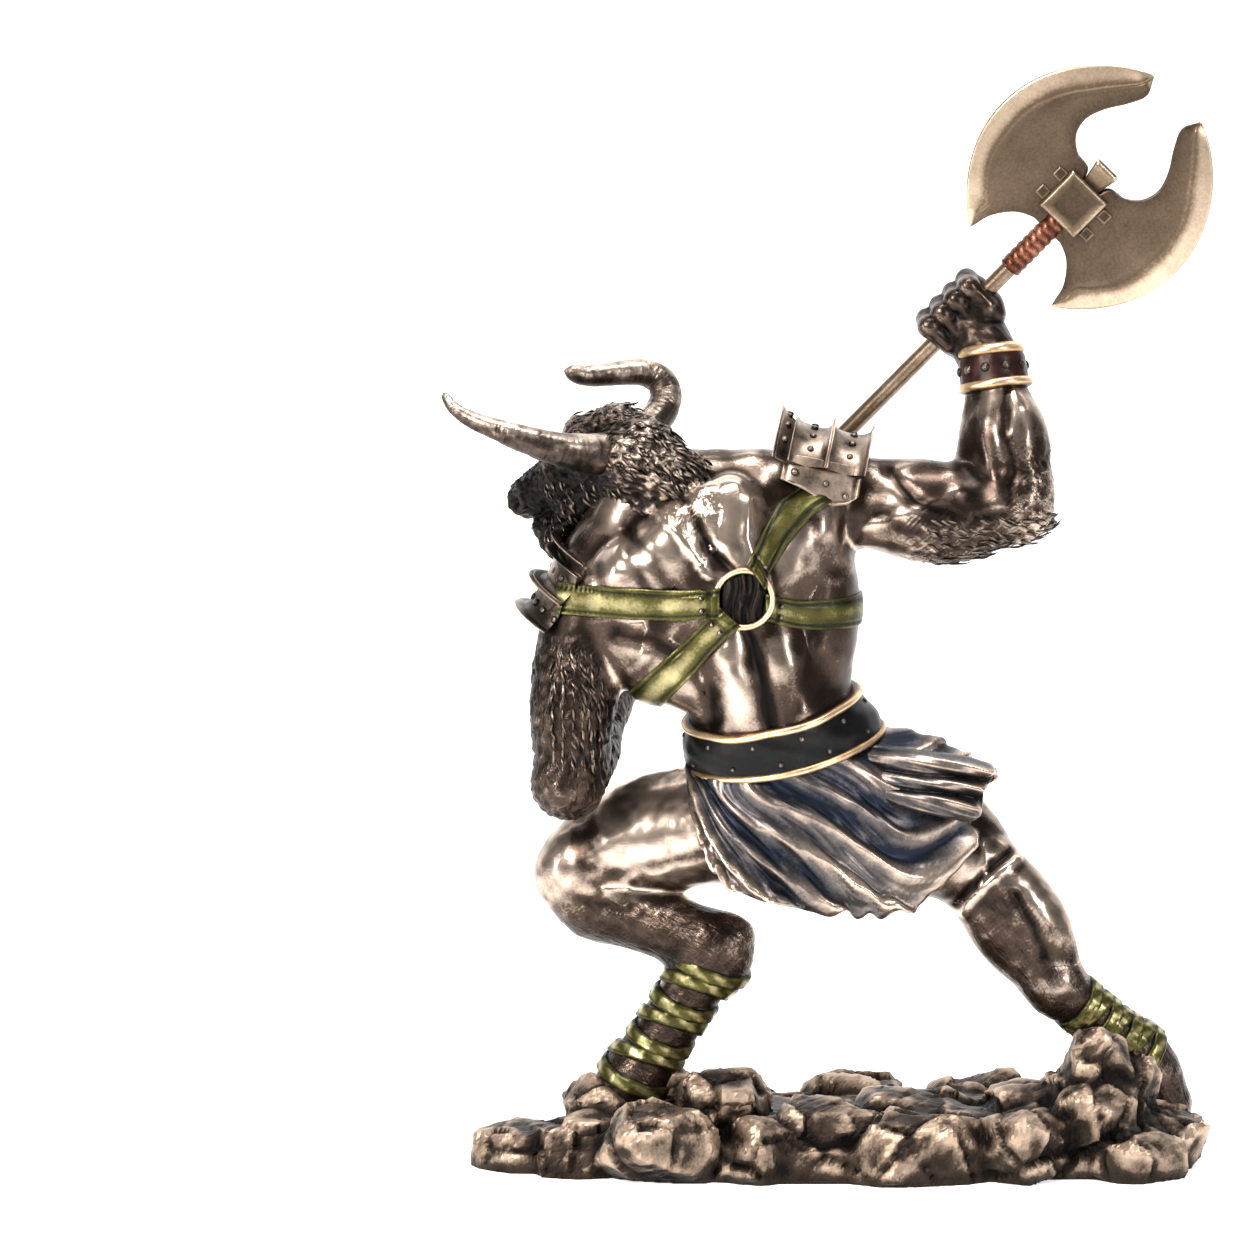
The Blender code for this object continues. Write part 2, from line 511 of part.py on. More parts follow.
def boulder(centre, half, turn, seed):
    """A broken rock: the hull of corners thrown at random on a squared-off ball."""
    rng = random.Random(seed)
    bm = bmesh.new()
    for _ in range(BOULDER_CORNERS):
        way = Vector((rng.gauss(0, 1), rng.gauss(0, 1), rng.gauss(0, 1))).normalized()
        squared = Vector([math.copysign(abs(c) ** 0.72, c) for c in way])
        spot = Vector((squared.x * half.x, squared.y * half.y, squared.z * half.z)) * rng.uniform(0.88, 1.04)
        spot.rotate(Matrix.Rotation(turn, 3, "Z"))
        bm.verts.new((centre + spot) * MM)
    bmesh.ops.convex_hull(bm, input=bm.verts)
    bmesh.ops.delete(bm, geom=[v for v in bm.verts if not v.link_faces], context="VERTS")
    return as_mesh(bm)


def harness(torso):
    """Straps that follow the torso, and the ring they meet at between the shoulder blades."""
    ring = point(-25.5, -24.5, 157.5)
    level = band(torso, ring, Vector((0.03, 0.1, 1.0)), STRAP_WIDTH, STRAP_RISE)
    slant = band(torso, ring, Vector((-0.70, 0.12, 0.71)), STRAP_WIDTH, STRAP_RISE)
    return [level, slant, wire_ring(ring + point(0, -0.8, 0), Vector((-0.05, -1.0, 0.12)), RING_RADIUS, RING_WIRE)]


def belt(torso):
    """The broad belt with a rolled trim along each edge."""
    middle = point(-15.5, 0.0, 120.2)
    lean = Vector((-0.21, -0.235, 1.0))
    bands = [band(torso, middle, lean, 10.4, BELT_RISE)]
    for side in (1, -1):
        bands.append(band(torso, middle + lean.normalized() * side * 5.9, lean, TRIM_WIDTH, TRIM_RISE))
    return bands


def bracer(arms):
    """The studded cuff at the right wrist, between two trims."""
    middle = point(43.2, 6.0, 219.0)
    lean = Vector((-0.12, 0.1, 1.0))
    bands = [band(arms, middle, lean, 8.0, 1.2)]
    for side in (1, -1):
        bands.append(band(arms, middle + lean.normalized() * side * 4.6, lean, TRIM_WIDTH, 2.0))
    return bands


def leg_wraps(legs):
    """Turns of binding round both shanks."""
    bands = []
    for top, bottom, turns, lean in ((LEFT_HOCK + point(-1.5, 0, -5), LEFT_FETLOCK + point(-1, 0, 1), 7, 0.32),
                                     (RIGHT_HOCK + point(7, 0, -5), RIGHT_FETLOCK + point(1, 0, 1), 7, -0.15)):
        along = (bottom - top).normalized()
        for turn in range(turns):
            tilt = Vector((lean, 0.15 * (-1) ** turn, 0.12 * (-1) ** turn))
            spot = top.lerp(bottom, turn / (turns - 1))
            bands.append(band(legs, spot, along + tilt, 3.9, WRAP_RISE))
    return bands


def axe_place(along, across, out=0.0):
    """A point given along the shaft, across it in the plane of the blades, and out of that plane."""
    return (SOCKET + SHAFT_AXIS * along + BLADE_AXIS * across + FLAT_AXIS * out) * MM


def axe_bar(length_from, length_to, radii, sides=16):
    """A round bar along the shaft, through evenly spaced radii."""
    bm = bmesh.new()
    rings = []
    for i, radius in enumerate(radii):
        along = length_from + (length_to - length_from) * i / (len(radii) - 1)
        rings.append([bm.verts.new(axe_place(along, radius * math.cos(2 * math.pi * s / sides),
                                             radius * math.sin(2 * math.pi * s / sides))) for s in range(sides)])
    for lower, upper in zip(rings, rings[1:]):
        for s in range(sides):
            t = (s + 1) % sides
            bm.faces.new((lower[s], lower[t], upper[t], upper[s]))
    bm.faces.new(rings[0])
    bm.faces.new(rings[-1])
    return as_mesh(bm)


def axe_block(along, across, half_along, half_across, half_out, chamfer):
    """A block across the axe's plane, with all the edges of its two faces chamfered."""
    bm = bmesh.new()
    corners = []
    for out, inset in ((-half_out, chamfer), (chamfer - half_out, 0), (half_out - chamfer, 0), (half_out, chamfer)):
        for i, j in ((-1, -1), (1, -1), (1, 1), (-1, 1)):
            corners.append(bm.verts.new(axe_place(along + i * (half_along - inset), across + j * (half_across - inset),
                                                  out)))
    bmesh.ops.convex_hull(bm, input=corners)
    return as_mesh(bm)


# The blade's inner edge, as (along, across) from the middle of the socket, from the upper tip to the lower tip
INNER_EDGE = [(39.6, 8.6), (35.0, 6.6), (29.8, 8.8), (24.3, 12.2), (18.8, 14.0), (13.8, 12.7), (10.5, 8.8), (9.4, 3.8),
              (3.0, 2.0), (-6.0, 2.0), (-10.0, 2.4), (-10.5, 5.5), (-13.0, 10.0), (-18.2, 13.9), (-23.6, 15.3)]


def blade(side):
    """One crescent blade, lofted from the upper tip to the lower tip with a ground outer edge."""
    bm = bmesh.new()
    count = len(INNER_EDGE)
    first, last = math.asin(8.8 / 35.6), math.pi - math.asin(15.6 / 34.5)
    loops = []
    for i, (along, across) in enumerate(INNER_EDGE):
        swing = first + (last - first) * i / (count - 1)
        reach = BLADE_RADIUS + TIP_REACH * math.cos(swing) ** 6
        outer = Vector((BLADE_CENTRE + reach * math.cos(swing), reach * math.sin(swing)))
        inner = Vector((along, across))
        gap = (outer - inner).length
        ground = outer.lerp(inner, min(BLADE_BEVEL, gap * 0.5) / gap) if gap > 0.2 else outer
        full = min(1.0, gap / BLADE_BEVEL) * BLADE_THICKNESS / 2
        full = max(full, EDGE_THICKNESS / 2 + 0.05)
        corners = [(outer, EDGE_THICKNESS / 2), (ground, full), (inner, full)]
        points = [(c, h) for c, h in corners] + [(c, -h) for c, h in reversed(corners)]
        loops.append([bm.verts.new(axe_place(c.x, side * c.y, h)) for c, h in points])
    for a, b in zip(loops, loops[1:]):
        for k in range(6):
            bm.faces.new((a[k], a[(k + 1) % 6], b[(k + 1) % 6], b[k]))
    bm.faces.new(loops[0])
    bm.faces.new(loops[-1])
    return as_mesh(bm)


def axe_pieces():
    grip = []
    for i in range(GRIP_TURNS * 2 + 1):
        grip.append(GRIP_RADIUS if i % 2 else GRIP_RADIUS - 0.45)
    half = SOCKET_SIDE / 2
    pieces = [axe_bar(-SHAFT_LENGTH, -2.0, [SHAFT_RADIUS] * 6), blade(1), blade(-1)]
    pieces.append(axe_bar(-GRIP_END, -GRIP_START + 4.0, grip))
    pieces.append(axe_bar(-SHAFT_LENGTH - 3.0, -SHAFT_LENGTH + 3.0, [POMMEL_RADIUS * 0.5, POMMEL_RADIUS, POMMEL_RADIUS,
                                                                     SHAFT_RADIUS + 0.2]))
    pieces.append(axe_block(0, 0, half, half, SOCKET_DEPTH / 2, 0.8))
    for along in (-STUD_OFFSET, STUD_OFFSET):
        for across in (-half - 1.7, half + 1.7):
            pieces.append(axe_block(along, across, STUD_SIDE / 2, STUD_SIDE / 2, 2.3, 0.5))
    pieces.append(flared_wedge(half))
    return pieces


def flared_wedge(start):
    """The shaft's end, spread by its wedge where it comes out of the socket."""
    bm = bmesh.new()
    for along, across, out in ((start - 2.0, 2.2, 1.9), (start + WEDGE_LENGTH, 3.9, 2.6)):
        for i, j in ((-1, -1), (1, -1), (1, 1), (-1, 1)):
            bm.verts.new(axe_place(along, i * across, j * out))
    bmesh.ops.convex_hull(bm, input=bm.verts)
    return as_mesh(bm)


def unite(name, meshes):
    """One solid from overlapping closed meshes, by Boolean unions."""
    base = join(meshes[:1], name)
    for mesh in meshes[1:]:
        tool = join([mesh], "tool")
        cut = base.modifiers.new("join", "BOOLEAN")
        cut.operation = "UNION"
        cut.solver = "EXACT"
        cut.object = tool
        apply_modifiers(base)
        bpy.data.objects.remove(tool)
    return base


def finish(color, roughness, metallic, name):
    material = bpy.data.materials.new(name)
    material.use_nodes = True
    shader = material.node_tree.nodes["Principled BSDF"]
    shader.inputs["Base Color"].default_value = (*color, 1.0)
    shader.inputs["Roughness"].default_value = roughness
    shader.inputs["Metallic"].default_value = metallic
    return material


def flat_underside(obj):
    """Cuts the casting flat at the floor, and closes the cut with one face."""
    bm = bmesh.new()
    bm.from_mesh(obj.data)
    bmesh.ops.bisect_plane(bm, geom=bm.verts[:] + bm.edges[:] + bm.faces[:], dist=1e-7,
                           plane_co=(0, 0, FOOTPRINT_LIFT * MM), plane_no=(0, 0, -1), clear_outer=True)
    bmesh.ops.holes_fill(bm, edges=[e for e in bm.edges if e.is_boundary], sides=0)
    bmesh.ops.triangulate(bm, faces=bm.faces)
    obj.data = as_mesh(bm)


def figure_casting():
    """The minotaur, its armour and kilt and the rock, cast as one."""
    torso = weld(forms_to_meshes(torso_forms()), 6)
    arms = weld(forms_to_meshes(arm_forms()), 5)
    legs = weld(forms_to_meshes(leg_forms()), 5)
    head = weld(forms_to_meshes(head_forms()) + chain(MANE), 3)
    parts = [torso, arms, legs, head, kilt()]
    parts += chain(NEAR_HORN) + chain(FAR_HORN) + mane_locks() + right_fist() + left_fist() + kilt_tails()
    parts += harness(torso) + belt(torso) + bracer(arms) + leg_wraps(legs) + shoulder_guards()
    parts += [boulder(*rock, seed) for seed, rock in enumerate(BOULDERS)]
    casting = join([weld(parts, 1)], "minotaur_and_rock")
    thin = casting.modifiers.new("facets", "DECIMATE")
    thin.ratio = FIGURE_FACES / (2.0 * len(casting.data.polygons))
    apply_modifiers(casting)
    flat_underside(casting)
    return casting


def bore_fist(casting):
    """Cuts the way of the axe's shaft and grip through the casting."""
    for start, end, radius in ((-SHAFT_LENGTH - 5, -GRIP_END - 1, SHAFT_RADIUS), (-GRIP_END - 1.5, 0, GRIP_RADIUS)):
        cutter = join([axe_bar(start, end, [radius + SHAFT_CLEARANCE] * 2, 20)], "way_of_the_shaft")
        cut = casting.modifiers.new("bore", "BOOLEAN")
        cut.operation = "DIFFERENCE"
        cut.solver = "EXACT"
        cut.object = cutter
        apply_modifiers(casting)
        bpy.data.objects.remove(cutter)


def main():
    for obj in list(bpy.data.objects):
        bpy.data.objects.remove(obj)
    casting = figure_casting()
    bore_fist(casting)
    casting.data.materials.clear()
    casting.data.materials.append(finish((0.16, 0.115, 0.085), 0.34, 0.9, "cast bronze"))
    axe = unite("double_axe", axe_pieces())
    axe.data.materials.clear()
    axe.data.materials.append(finish((0.34, 0.26, 0.18), 0.38, 0.95, "pale bronze"))
    for obj in (casting, axe):
        obj.data.set_sharp_from_angle(angle=math.radians(40))
        print(obj.name, len(obj.data.polygons), "faces")


main()
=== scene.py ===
# %% [markdown]
# # A minotaur statue in cold-cast bronze
# The real object is a resin figurine filled with bronze powder. It is cast, blackened, then rubbed so
# that metal shines on every raised form, and a few straps and cloths get a thin colour wash. We build it
# the same way: first the forms, then the carving, then a patina that reads how raised each point is.

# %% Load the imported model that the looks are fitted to
import math
import random

import bmesh
import bpy
import numpy as np
from mathutils import Matrix, Vector


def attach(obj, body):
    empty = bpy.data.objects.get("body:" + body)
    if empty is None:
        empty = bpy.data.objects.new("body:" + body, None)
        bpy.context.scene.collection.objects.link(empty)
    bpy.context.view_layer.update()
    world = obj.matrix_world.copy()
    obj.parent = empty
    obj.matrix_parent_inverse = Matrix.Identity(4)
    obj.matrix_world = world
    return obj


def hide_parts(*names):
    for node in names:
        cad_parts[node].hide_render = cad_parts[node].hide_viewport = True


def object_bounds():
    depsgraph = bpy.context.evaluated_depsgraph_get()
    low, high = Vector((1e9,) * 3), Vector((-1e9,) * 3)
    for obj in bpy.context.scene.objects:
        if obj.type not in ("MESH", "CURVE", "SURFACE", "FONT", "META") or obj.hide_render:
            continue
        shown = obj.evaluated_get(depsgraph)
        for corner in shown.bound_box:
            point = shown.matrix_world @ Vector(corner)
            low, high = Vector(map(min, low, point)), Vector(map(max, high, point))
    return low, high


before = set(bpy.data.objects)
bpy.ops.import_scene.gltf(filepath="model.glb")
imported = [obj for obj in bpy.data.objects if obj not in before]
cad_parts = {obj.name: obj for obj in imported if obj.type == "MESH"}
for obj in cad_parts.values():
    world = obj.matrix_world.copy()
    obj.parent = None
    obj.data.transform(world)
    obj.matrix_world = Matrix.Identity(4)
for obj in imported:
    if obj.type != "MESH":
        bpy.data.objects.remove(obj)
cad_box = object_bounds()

MM = 0.001
FIGURE, AXE = "minotaur_and_rock", "double_axe"
print("CAD box in mm:", [[round(c / MM, 1) for c in corner] for corner in cad_box])

# %% [markdown]
# ## Camera first
# The photograph looks at the figure's back from slightly above, with a long lens. One millimetre is one
# unit in our own sums, and only the finished meshes are in metres.

# %% Camera
LOOK_AT = Vector((-56.6, 0.0, 147.5)) * MM
CAMERA_DISTANCE = 1.3
CAMERA_PITCH = math.radians(4.5)
FRAME_WIDTH = 0.3472          # what the frame spans at the statue, in metres
SENSOR = 36.0

camera = bpy.data.objects.new("camera", bpy.data.cameras.new("camera"))
bpy.context.scene.collection.objects.link(camera)
bpy.context.scene.camera = camera
gaze = Vector((0, math.cos(CAMERA_PITCH), -math.sin(CAMERA_PITCH)))
camera.location = LOOK_AT - gaze * CAMERA_DISTANCE
camera.rotation_euler = gaze.to_track_quat("-Z", "Y").to_euler()
camera.data.sensor_width = SENSOR
camera.data.lens = SENSOR * CAMERA_DISTANCE / FRAME_WIDTH


def plain_material(name, colour, roughness):
    material = bpy.data.materials.new(name)
    material.use_nodes = True
    shader = material.node_tree.nodes["Principled BSDF"]
    shader.inputs["Base Color"].default_value = (*colour, 1)
    shader.inputs["Roughness"].default_value = roughness
    return material


def soft_light(name, place, aim, size, power, colour=(1, 1, 1)):
    light = bpy.data.lights.new(name, "AREA")
    light.shape = "RECTANGLE"
    light.size, light.size_y = size
    light.energy = power
    light.color = colour
    lamp = bpy.data.objects.new(name, light)
    lamp.location = place
    lamp.rotation_euler = (Vector(aim) - Vector(place)).to_track_quat("-Z", "Y").to_euler()
    bpy.context.scene.collection.objects.link(lamp)


print("camera lens in mm:", round(camera.data.lens, 1))

# %% [markdown]
# ## The floor
# The photograph has a blown-out white ground, so a pale sheet runs back and curves up behind the statue. A
# plane and a wall would show their corner.

# %% Pale sheet
floor_bm = bmesh.new()
FLOOR_SPAN = 4.0
sweep = [(-0.75, 0.0), (0.9, 0.0), (1.25, 0.06), (1.5, 0.25), (1.6, 0.6), (1.62, 3.2)]
rows = [[floor_bm.verts.new((x, y, z)) for x in (-FLOOR_SPAN, FLOOR_SPAN)] for y, z in sweep]
for low, high in zip(rows, rows[1:]):
    floor_bm.faces.new((low[0], low[1], high[1], high[0]))
floor_mesh = bpy.data.meshes.new("floor")
floor_bm.to_mesh(floor_mesh)
floor_bm.free()
floor = bpy.data.objects.new("floor", floor_mesh)
paper = plain_material("pale_floor", (0.93, 0.93, 0.93), 0.8)
paper.node_tree.nodes["Principled BSDF"].inputs["Emission Color"].default_value = (1, 1, 1, 1)
paper.node_tree.nodes["Principled BSDF"].inputs["Emission Strength"].default_value = 0.62
floor_mesh.materials.append(paper)
bpy.context.scene.collection.objects.link(floor)

print("floor is", 2 * FLOOR_SPAN, "m wide")

# %% [markdown]
# ## Soft light
# Bronze shows its shape through what it mirrors. Five rectangles of light stand for studio soft boxes. A
# single lamp would leave small hard sparks.

# %% Studio lamps
world = bpy.data.worlds.new("studio")
bpy.context.scene.world = world
world.use_nodes = True
world.node_tree.nodes["Background"].inputs["Color"].default_value = (0.95, 0.97, 1.0, 1)
world.node_tree.nodes["Background"].inputs["Strength"].default_value = 0.10
bpy.context.scene.view_settings.view_transform = "Standard"
soft_light("key", (-0.62, -0.95, 0.78), (-0.02, 0, 0.16), (0.26, 0.36), 17, (1.0, 0.97, 0.94))
soft_light("side", (0.8, -0.85, 0.5), (0, 0, 0.15), (0.12, 0.6), 6, (0.97, 0.98, 1.0))
soft_light("top", (0.08, -0.2, 1.15), (0, 0, 0.12), (0.55, 0.25), 9)
soft_light("low_left", (-0.95, -0.45, 0.22), (0, 0, 0.12), (0.1, 0.45), 2.5)
soft_light("backdrop", (0.0, 0.75, 1.7), (0, 1.55, 0.2), (3.0, 0.4), 16)
print("lamps:", len(bpy.data.lights))

# %% [markdown]
# ## Numbers as clay
# Every rounded form is a distance: how far a point is from its skin. A limb is a line with a radius at
# each end, a muscle is an ellipsoid. Blending the distances gives the smooth webs between muscles, which
# a plain Boolean can't. Noise in three dimensions gives everything that is irregular.


# %% Vectors and noise
def vec(*values):
    return np.array(values, dtype=float)


def unit(v):
    return v / (np.linalg.norm(v, axis=-1, keepdims=True) + 1e-12)


def chance(ix, iy, iz, seed):
    """A steady random number from 0 to 1 for each lattice cell."""
    h = (ix * 374761393 + iy * 668265263 + iz * 1440662683 + seed * 1013904223) & 0xFFFFFFFF
    h = ((h ^ (h >> 13)) * 1274126177) & 0xFFFFFFFF
    return ((h ^ (h >> 16)) & 0xFFFF) / 65535.0


def noise(p, seed=0):
    """Smooth noise from -1 to 1 with bumps one unit wide."""
    cell = np.floor(p).astype(np.int64)
    f = p - cell
    f = f * f * (3 - 2 * f)
    total = np.zeros(len(p))
    for dx in (0, 1):
        for dy in (0, 1):
            for dz in (0, 1):
                weight = (f[:, 0] if dx else 1 - f[:, 0]) * (f[:, 1] if dy else 1 - f[:, 1])
                weight *= f[:, 2] if dz else 1 - f[:, 2]
                total += weight * chance(cell[:, 0] + dx, cell[:, 1] + dy, cell[:, 2] + dz, seed)
    return total * 2 - 1


def rough_noise(p, layers, seed=0):
    total = np.zeros(len(p))
    for layer in range(layers):
        total += noise(p * 2.0 ** layer, seed + layer) / 2 ** layer
    return total


trial = noise(np.linspace((0, 0, 0), (9, 7, 5), 500))
print("noise goes from", round(trial.min(), 2), "to", round(trial.max(), 2))

# %% [markdown]
# ## Scattered cells
# Chipped stone and tufts of hair both fall into patches. A point belongs to the nearest of some scattered
# seeds, and where two are as near there is a crack. A picture texture would stretch, this doesn't.


# %% Cells
def cells(p, seed=0):
    """For each point: the way to the nearest scattered seed, how far it is, and how much further the next."""
    home = np.floor(p).astype(np.int64)
    first = np.full(len(p), 9.0)
    second = np.full(len(p), 9.0)
    offset = np.zeros_like(p)
    label = np.zeros(len(p))
    for dx in (-1, 0, 1):
        for dy in (-1, 0, 1):
            for dz in (-1, 0, 1):
                c = home + (dx, dy, dz)
                spot = c + np.stack([chance(*c.T, seed + k) for k in range(3)], axis=1)
                away = p - spot
                d = np.linalg.norm(away, axis=1)
                nearer = d < first
                second = np.where(nearer, first, np.minimum(second, d))
                offset[nearer] = away[nearer]
                label[nearer] = chance(*c.T, seed + 7)[nearer]
                first = np.where(nearer, d, first)
    return offset, first, second - first, label


trial = cells(np.linspace((0, 0, 0), (9, 7, 5), 500))
print("farthest from a seed:", round(trial[1].max(), 2))

# %% [markdown]
# ## Two kinds of form
# Arms and legs narrow along their length, so a limb has a radius at each end. A muscle is longer than it
# is wide and wider than it is thick, so it is a stretched ball that faces one way. Two kinds are enough
# for the whole body, and both could be sculpted by hand, but numbers can be set against the photograph
# again and again.

# %% Limbs, muscles and their blend
def limb(start, start_radius, end, end_radius):
    return "limb", vec(*start), start_radius, vec(*end), end_radius


def muscle(start, end, half_width, half_thickness, facing):
    return "muscle", vec(*start), vec(*end), half_width, half_thickness, vec(*facing)


def muscle_axes(start, end, facing):
    along = unit(end - start)
    out = unit(facing - along * (facing @ along))
    return np.array([np.cross(out, along), out, along])


def distance_to(p, form):
    if form[0] == "limb":
        _, a, ra, b, rb = form
        ab = b - a
        t = np.clip((p - a) @ ab / (ab @ ab), 0, 1)
        return np.linalg.norm(p - a - t[:, None] * ab, axis=1) - (ra + (rb - ra) * t)
    _, a, b, width, thick, facing = form
    size = vec(width, thick, np.linalg.norm(b - a) / 2)
    q = (p - (a + b) / 2) @ muscle_axes(a, b, facing).T / size
    k = np.linalg.norm(q, axis=1) + 1e-9
    return k * (k - 1) / (np.linalg.norm(q / size, axis=1) + 1e-9)


def skin_distance(p, forms, blend):
    """Distance to the blended skin of all the forms. Blend is how wide the webs between them are."""
    total = distance_to(p, forms[0])
    for form in forms[1:]:
        d = distance_to(p, form)
        near = np.maximum(blend - np.abs(total - d), 0) / blend
        total = np.minimum(total, d) - near * near * blend / 4
    return total


def out_of_skin(p, forms, blend, step=0.08):
    """The way out of the skin at each point."""
    here = skin_distance(p, forms, blend)
    slope = [skin_distance(p + nudge, forms, blend) - here for nudge in np.eye(3) * step]
    return unit(np.stack(slope, axis=1))


def chain(stations):
    """Limbs through a list of (x, y, z, radius)."""
    return [limb(a[:3], a[3], b[:3], b[3]) for a, b in zip(stations, stations[1:])]


trial = distance_to(vec(0, 10, 0)[None], limb((0, 0, -5), 4, (0, 0, 5), 4))
print("10 mm from the line of a limb 4 mm thick, its skin is away by", round(trial[0], 2))

# %% [markdown]
# ## From clay to mesh
# A voxel remesh wraps all the forms in one even skin of small quads. Each point is then moved onto the
# blended surface. After that the skin is only points and quads in arrays, so carving is arithmetic on
# them.


# %% Skins as arrays
class Skin:
    """Points and quads of one even skin, in millimetres."""

    def __init__(self, points, quads):
        self.points, self.quads = points, quads
        pairs = np.concatenate([quads[:, [k, (k + 1) % 4]] for k in range(4)])
        self.one, self.other = pairs[:, 0], pairs[:, 1]
        self.count = np.maximum(np.bincount(self.one, minlength=len(points)), 1)

    def normals(self):
        corner = self.points[self.quads]
        face = np.cross(corner[:, 2] - corner[:, 0], corner[:, 3] - corner[:, 1])
        total = np.zeros_like(self.points)
        for k in range(4):
            for axis in range(3):
                total[:, axis] += np.bincount(self.quads[:, k], weights=face[:, axis], minlength=len(total))
        return unit(total)

    def near_mean(self, values):
        flat = values.reshape(len(values), -1)
        mean = [np.bincount(self.one, weights=flat[self.other, k], minlength=len(flat)) / self.count
                for k in range(flat.shape[1])]
        return np.stack(mean, axis=1).reshape(values.shape)

    def soften(self, times, share=0.5):
        for _ in range(times):
            self.points += (self.near_mean(self.points) - self.points) * share

    def raise_by(self, height):
        self.points += self.normals() * height[:, None]

    def raisedness(self, fine=3, broad=24):
        """0 in the deepest folds, 0.5 on plain skin and 1 on the sharpest ridges."""
        normal = self.normals()
        blurred = self.points.copy()
        total = np.full(len(blurred), 0.5)
        for step in range(broad + 1):
            if step in (fine, broad):
                height = ((self.points - blurred) * normal).sum(axis=1)
                total += 0.27 * np.clip(height / (np.percentile(np.abs(height), 92) + 1e-9), -1.3, 1.3)
            blurred = self.near_mean(blurred)
        return np.clip(self.near_mean(total), 0, 1)

trial = Skin(np.eye(4)[:, :3] * 1.0, np.array([[0, 1, 2, 3]]))
print("a single quad touches", int(trial.count.sum() / 2), "neighbours by its edges")

# %% [markdown]
# ## Wrapping
# Each form first becomes a rough closed mesh, only to feed the remesh. Five rounds of softening and of
# moving the points onto the blended distance then give the true skin.


# %% Wrapping and sculpting
def form_mesh(form):
    """A rough closed mesh of one form, only to feed the remesh."""
    bm = bmesh.new()
    if form[0] == "limb":
        _, a, ra, b, rb = form
        for centre, radius in ((a, ra), (b, rb)):
            bmesh.ops.create_icosphere(bm, subdivisions=3, radius=radius * MM,
                                       matrix=Matrix.Translation(Vector(centre) * MM))
        hull = bmesh.ops.convex_hull(bm, input=bm.verts)
        inside = {e for e in hull["geom_interior"] + hull["geom_unused"]
                  if isinstance(e, bmesh.types.BMVert)}
        bmesh.ops.delete(bm, geom=list(inside), context="VERTS")
    else:
        _, a, b, width, thick, facing = form
        bmesh.ops.create_icosphere(bm, subdivisions=3, radius=MM)
        turn = Matrix([list(row) for row in muscle_axes(a, b, facing)]).transposed().to_4x4()
        size = Matrix.Diagonal((width, thick, float(np.linalg.norm(b - a)) / 2, 1))
        bmesh.ops.transform(bm, matrix=Matrix.Translation(Vector((a + b) / 2) * MM) @ turn @ size,
                            verts=bm.verts)
    bmesh.ops.recalc_face_normals(bm, faces=bm.faces)
    mesh = bpy.data.meshes.new("form")
    bm.to_mesh(mesh)
    bm.free()
    return mesh


def wrap(meshes, voxel):
    """One skin of even quads round closed meshes."""
    bm = bmesh.new()
    for mesh in meshes:
        bm.from_mesh(mesh)
    joined = bpy.data.meshes.new("joined")
    bm.to_mesh(joined)
    bm.free()
    helper = bpy.data.objects.new("helper", joined)
    bpy.context.scene.collection.objects.link(helper)
    remesh = helper.modifiers.new("wrap", "REMESH")
    remesh.mode = "VOXEL"
    remesh.voxel_size = voxel * MM
    bpy.context.view_layer.update()
    mesh = bpy.data.meshes.new_from_object(helper.evaluated_get(bpy.context.evaluated_depsgraph_get()))
    bpy.data.objects.remove(helper)
    points = np.empty(len(mesh.vertices) * 3)
    mesh.vertices.foreach_get("co", points)
    quads = np.empty(len(mesh.polygons) * 4, dtype=np.int64)
    mesh.polygons.foreach_get("vertices", quads)
    return Skin(points.reshape(-1, 3) / MM, quads.reshape(-1, 4))


def sculpt(forms, voxel, blend):
    """The blended skin of forms as an even mesh."""
    skin = wrap([form_mesh(f) for f in forms], voxel)
    for _ in range(5):
        skin.soften(1, 0.4)
        skin.raise_by(-np.clip(skin_distance(skin.points, forms, blend), -1.5, 1.5))
    return skin


# Voxels in mm, smaller where the carving is finer
VOXEL = {"body": 0.80, "legs": 0.83, "rock": 1.10, "head": 0.56, "fists": 0.5}
trial = sculpt([limb((0, 0, 0), 5, (0, 0, 1), 5)], 1.0, 1.0)
print("a trial ball has", len(trial.quads), "quads")

# %% [markdown]
# ## From arrays to pieces
# Blender wants a mesh with a material. One function gives every piece one, hangs it under the root and
# hides the solid that it dresses. It also keeps each point within the solid model's box, so that no tuft
# makes the statue larger than it is.

# %% Arrays to finished objects
made = []
BOX_LOW, BOX_HIGH = np.array(cad_box[0]) / MM + (0.05, 0.05, 0), np.array(cad_box[1]) / MM - 0.05


def hand_over(name, points, faces, material, node, worn=None, smooth=True, **attributes):
    """A finished piece from arrays in millimetres. Materials read the attributes at each point."""
    mesh = bpy.data.meshes.new(name)
    points = np.clip(np.asarray(points), BOX_LOW, BOX_HIGH)
    mesh.from_pydata(points * MM, [], [tuple(f) for f in np.asarray(faces).tolist()]
                     if isinstance(faces, np.ndarray) else faces)
    if worn is not None:
        attributes["worn"] = worn
    if "flow" in attributes and "coat" not in attributes:
        attributes["coat"] = np.ones(len(points))
    for label, values in attributes.items():
        values = np.asarray(values, dtype=float)
        kind = "FLOAT" if values.ndim == 1 else "FLOAT_VECTOR"
        layer = mesh.attributes.new(label, kind, "POINT")
        layer.data.foreach_set("value" if kind == "FLOAT" else "vector", values.ravel())
    mesh.polygons.foreach_set("use_smooth", [smooth] * len(mesh.polygons))
    mesh.materials.append(material)
    piece = bpy.data.objects.new(name, mesh)
    bpy.context.scene.collection.objects.link(piece)
    register(piece, node)
    return piece


def register(piece, node):
    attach(piece, "root")
    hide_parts(node)
    made.append(piece)
    triangles = sum(len(f.vertices) - 2 for f in piece.data.polygons)
    print(f"{piece.name}: {triangles} triangles")
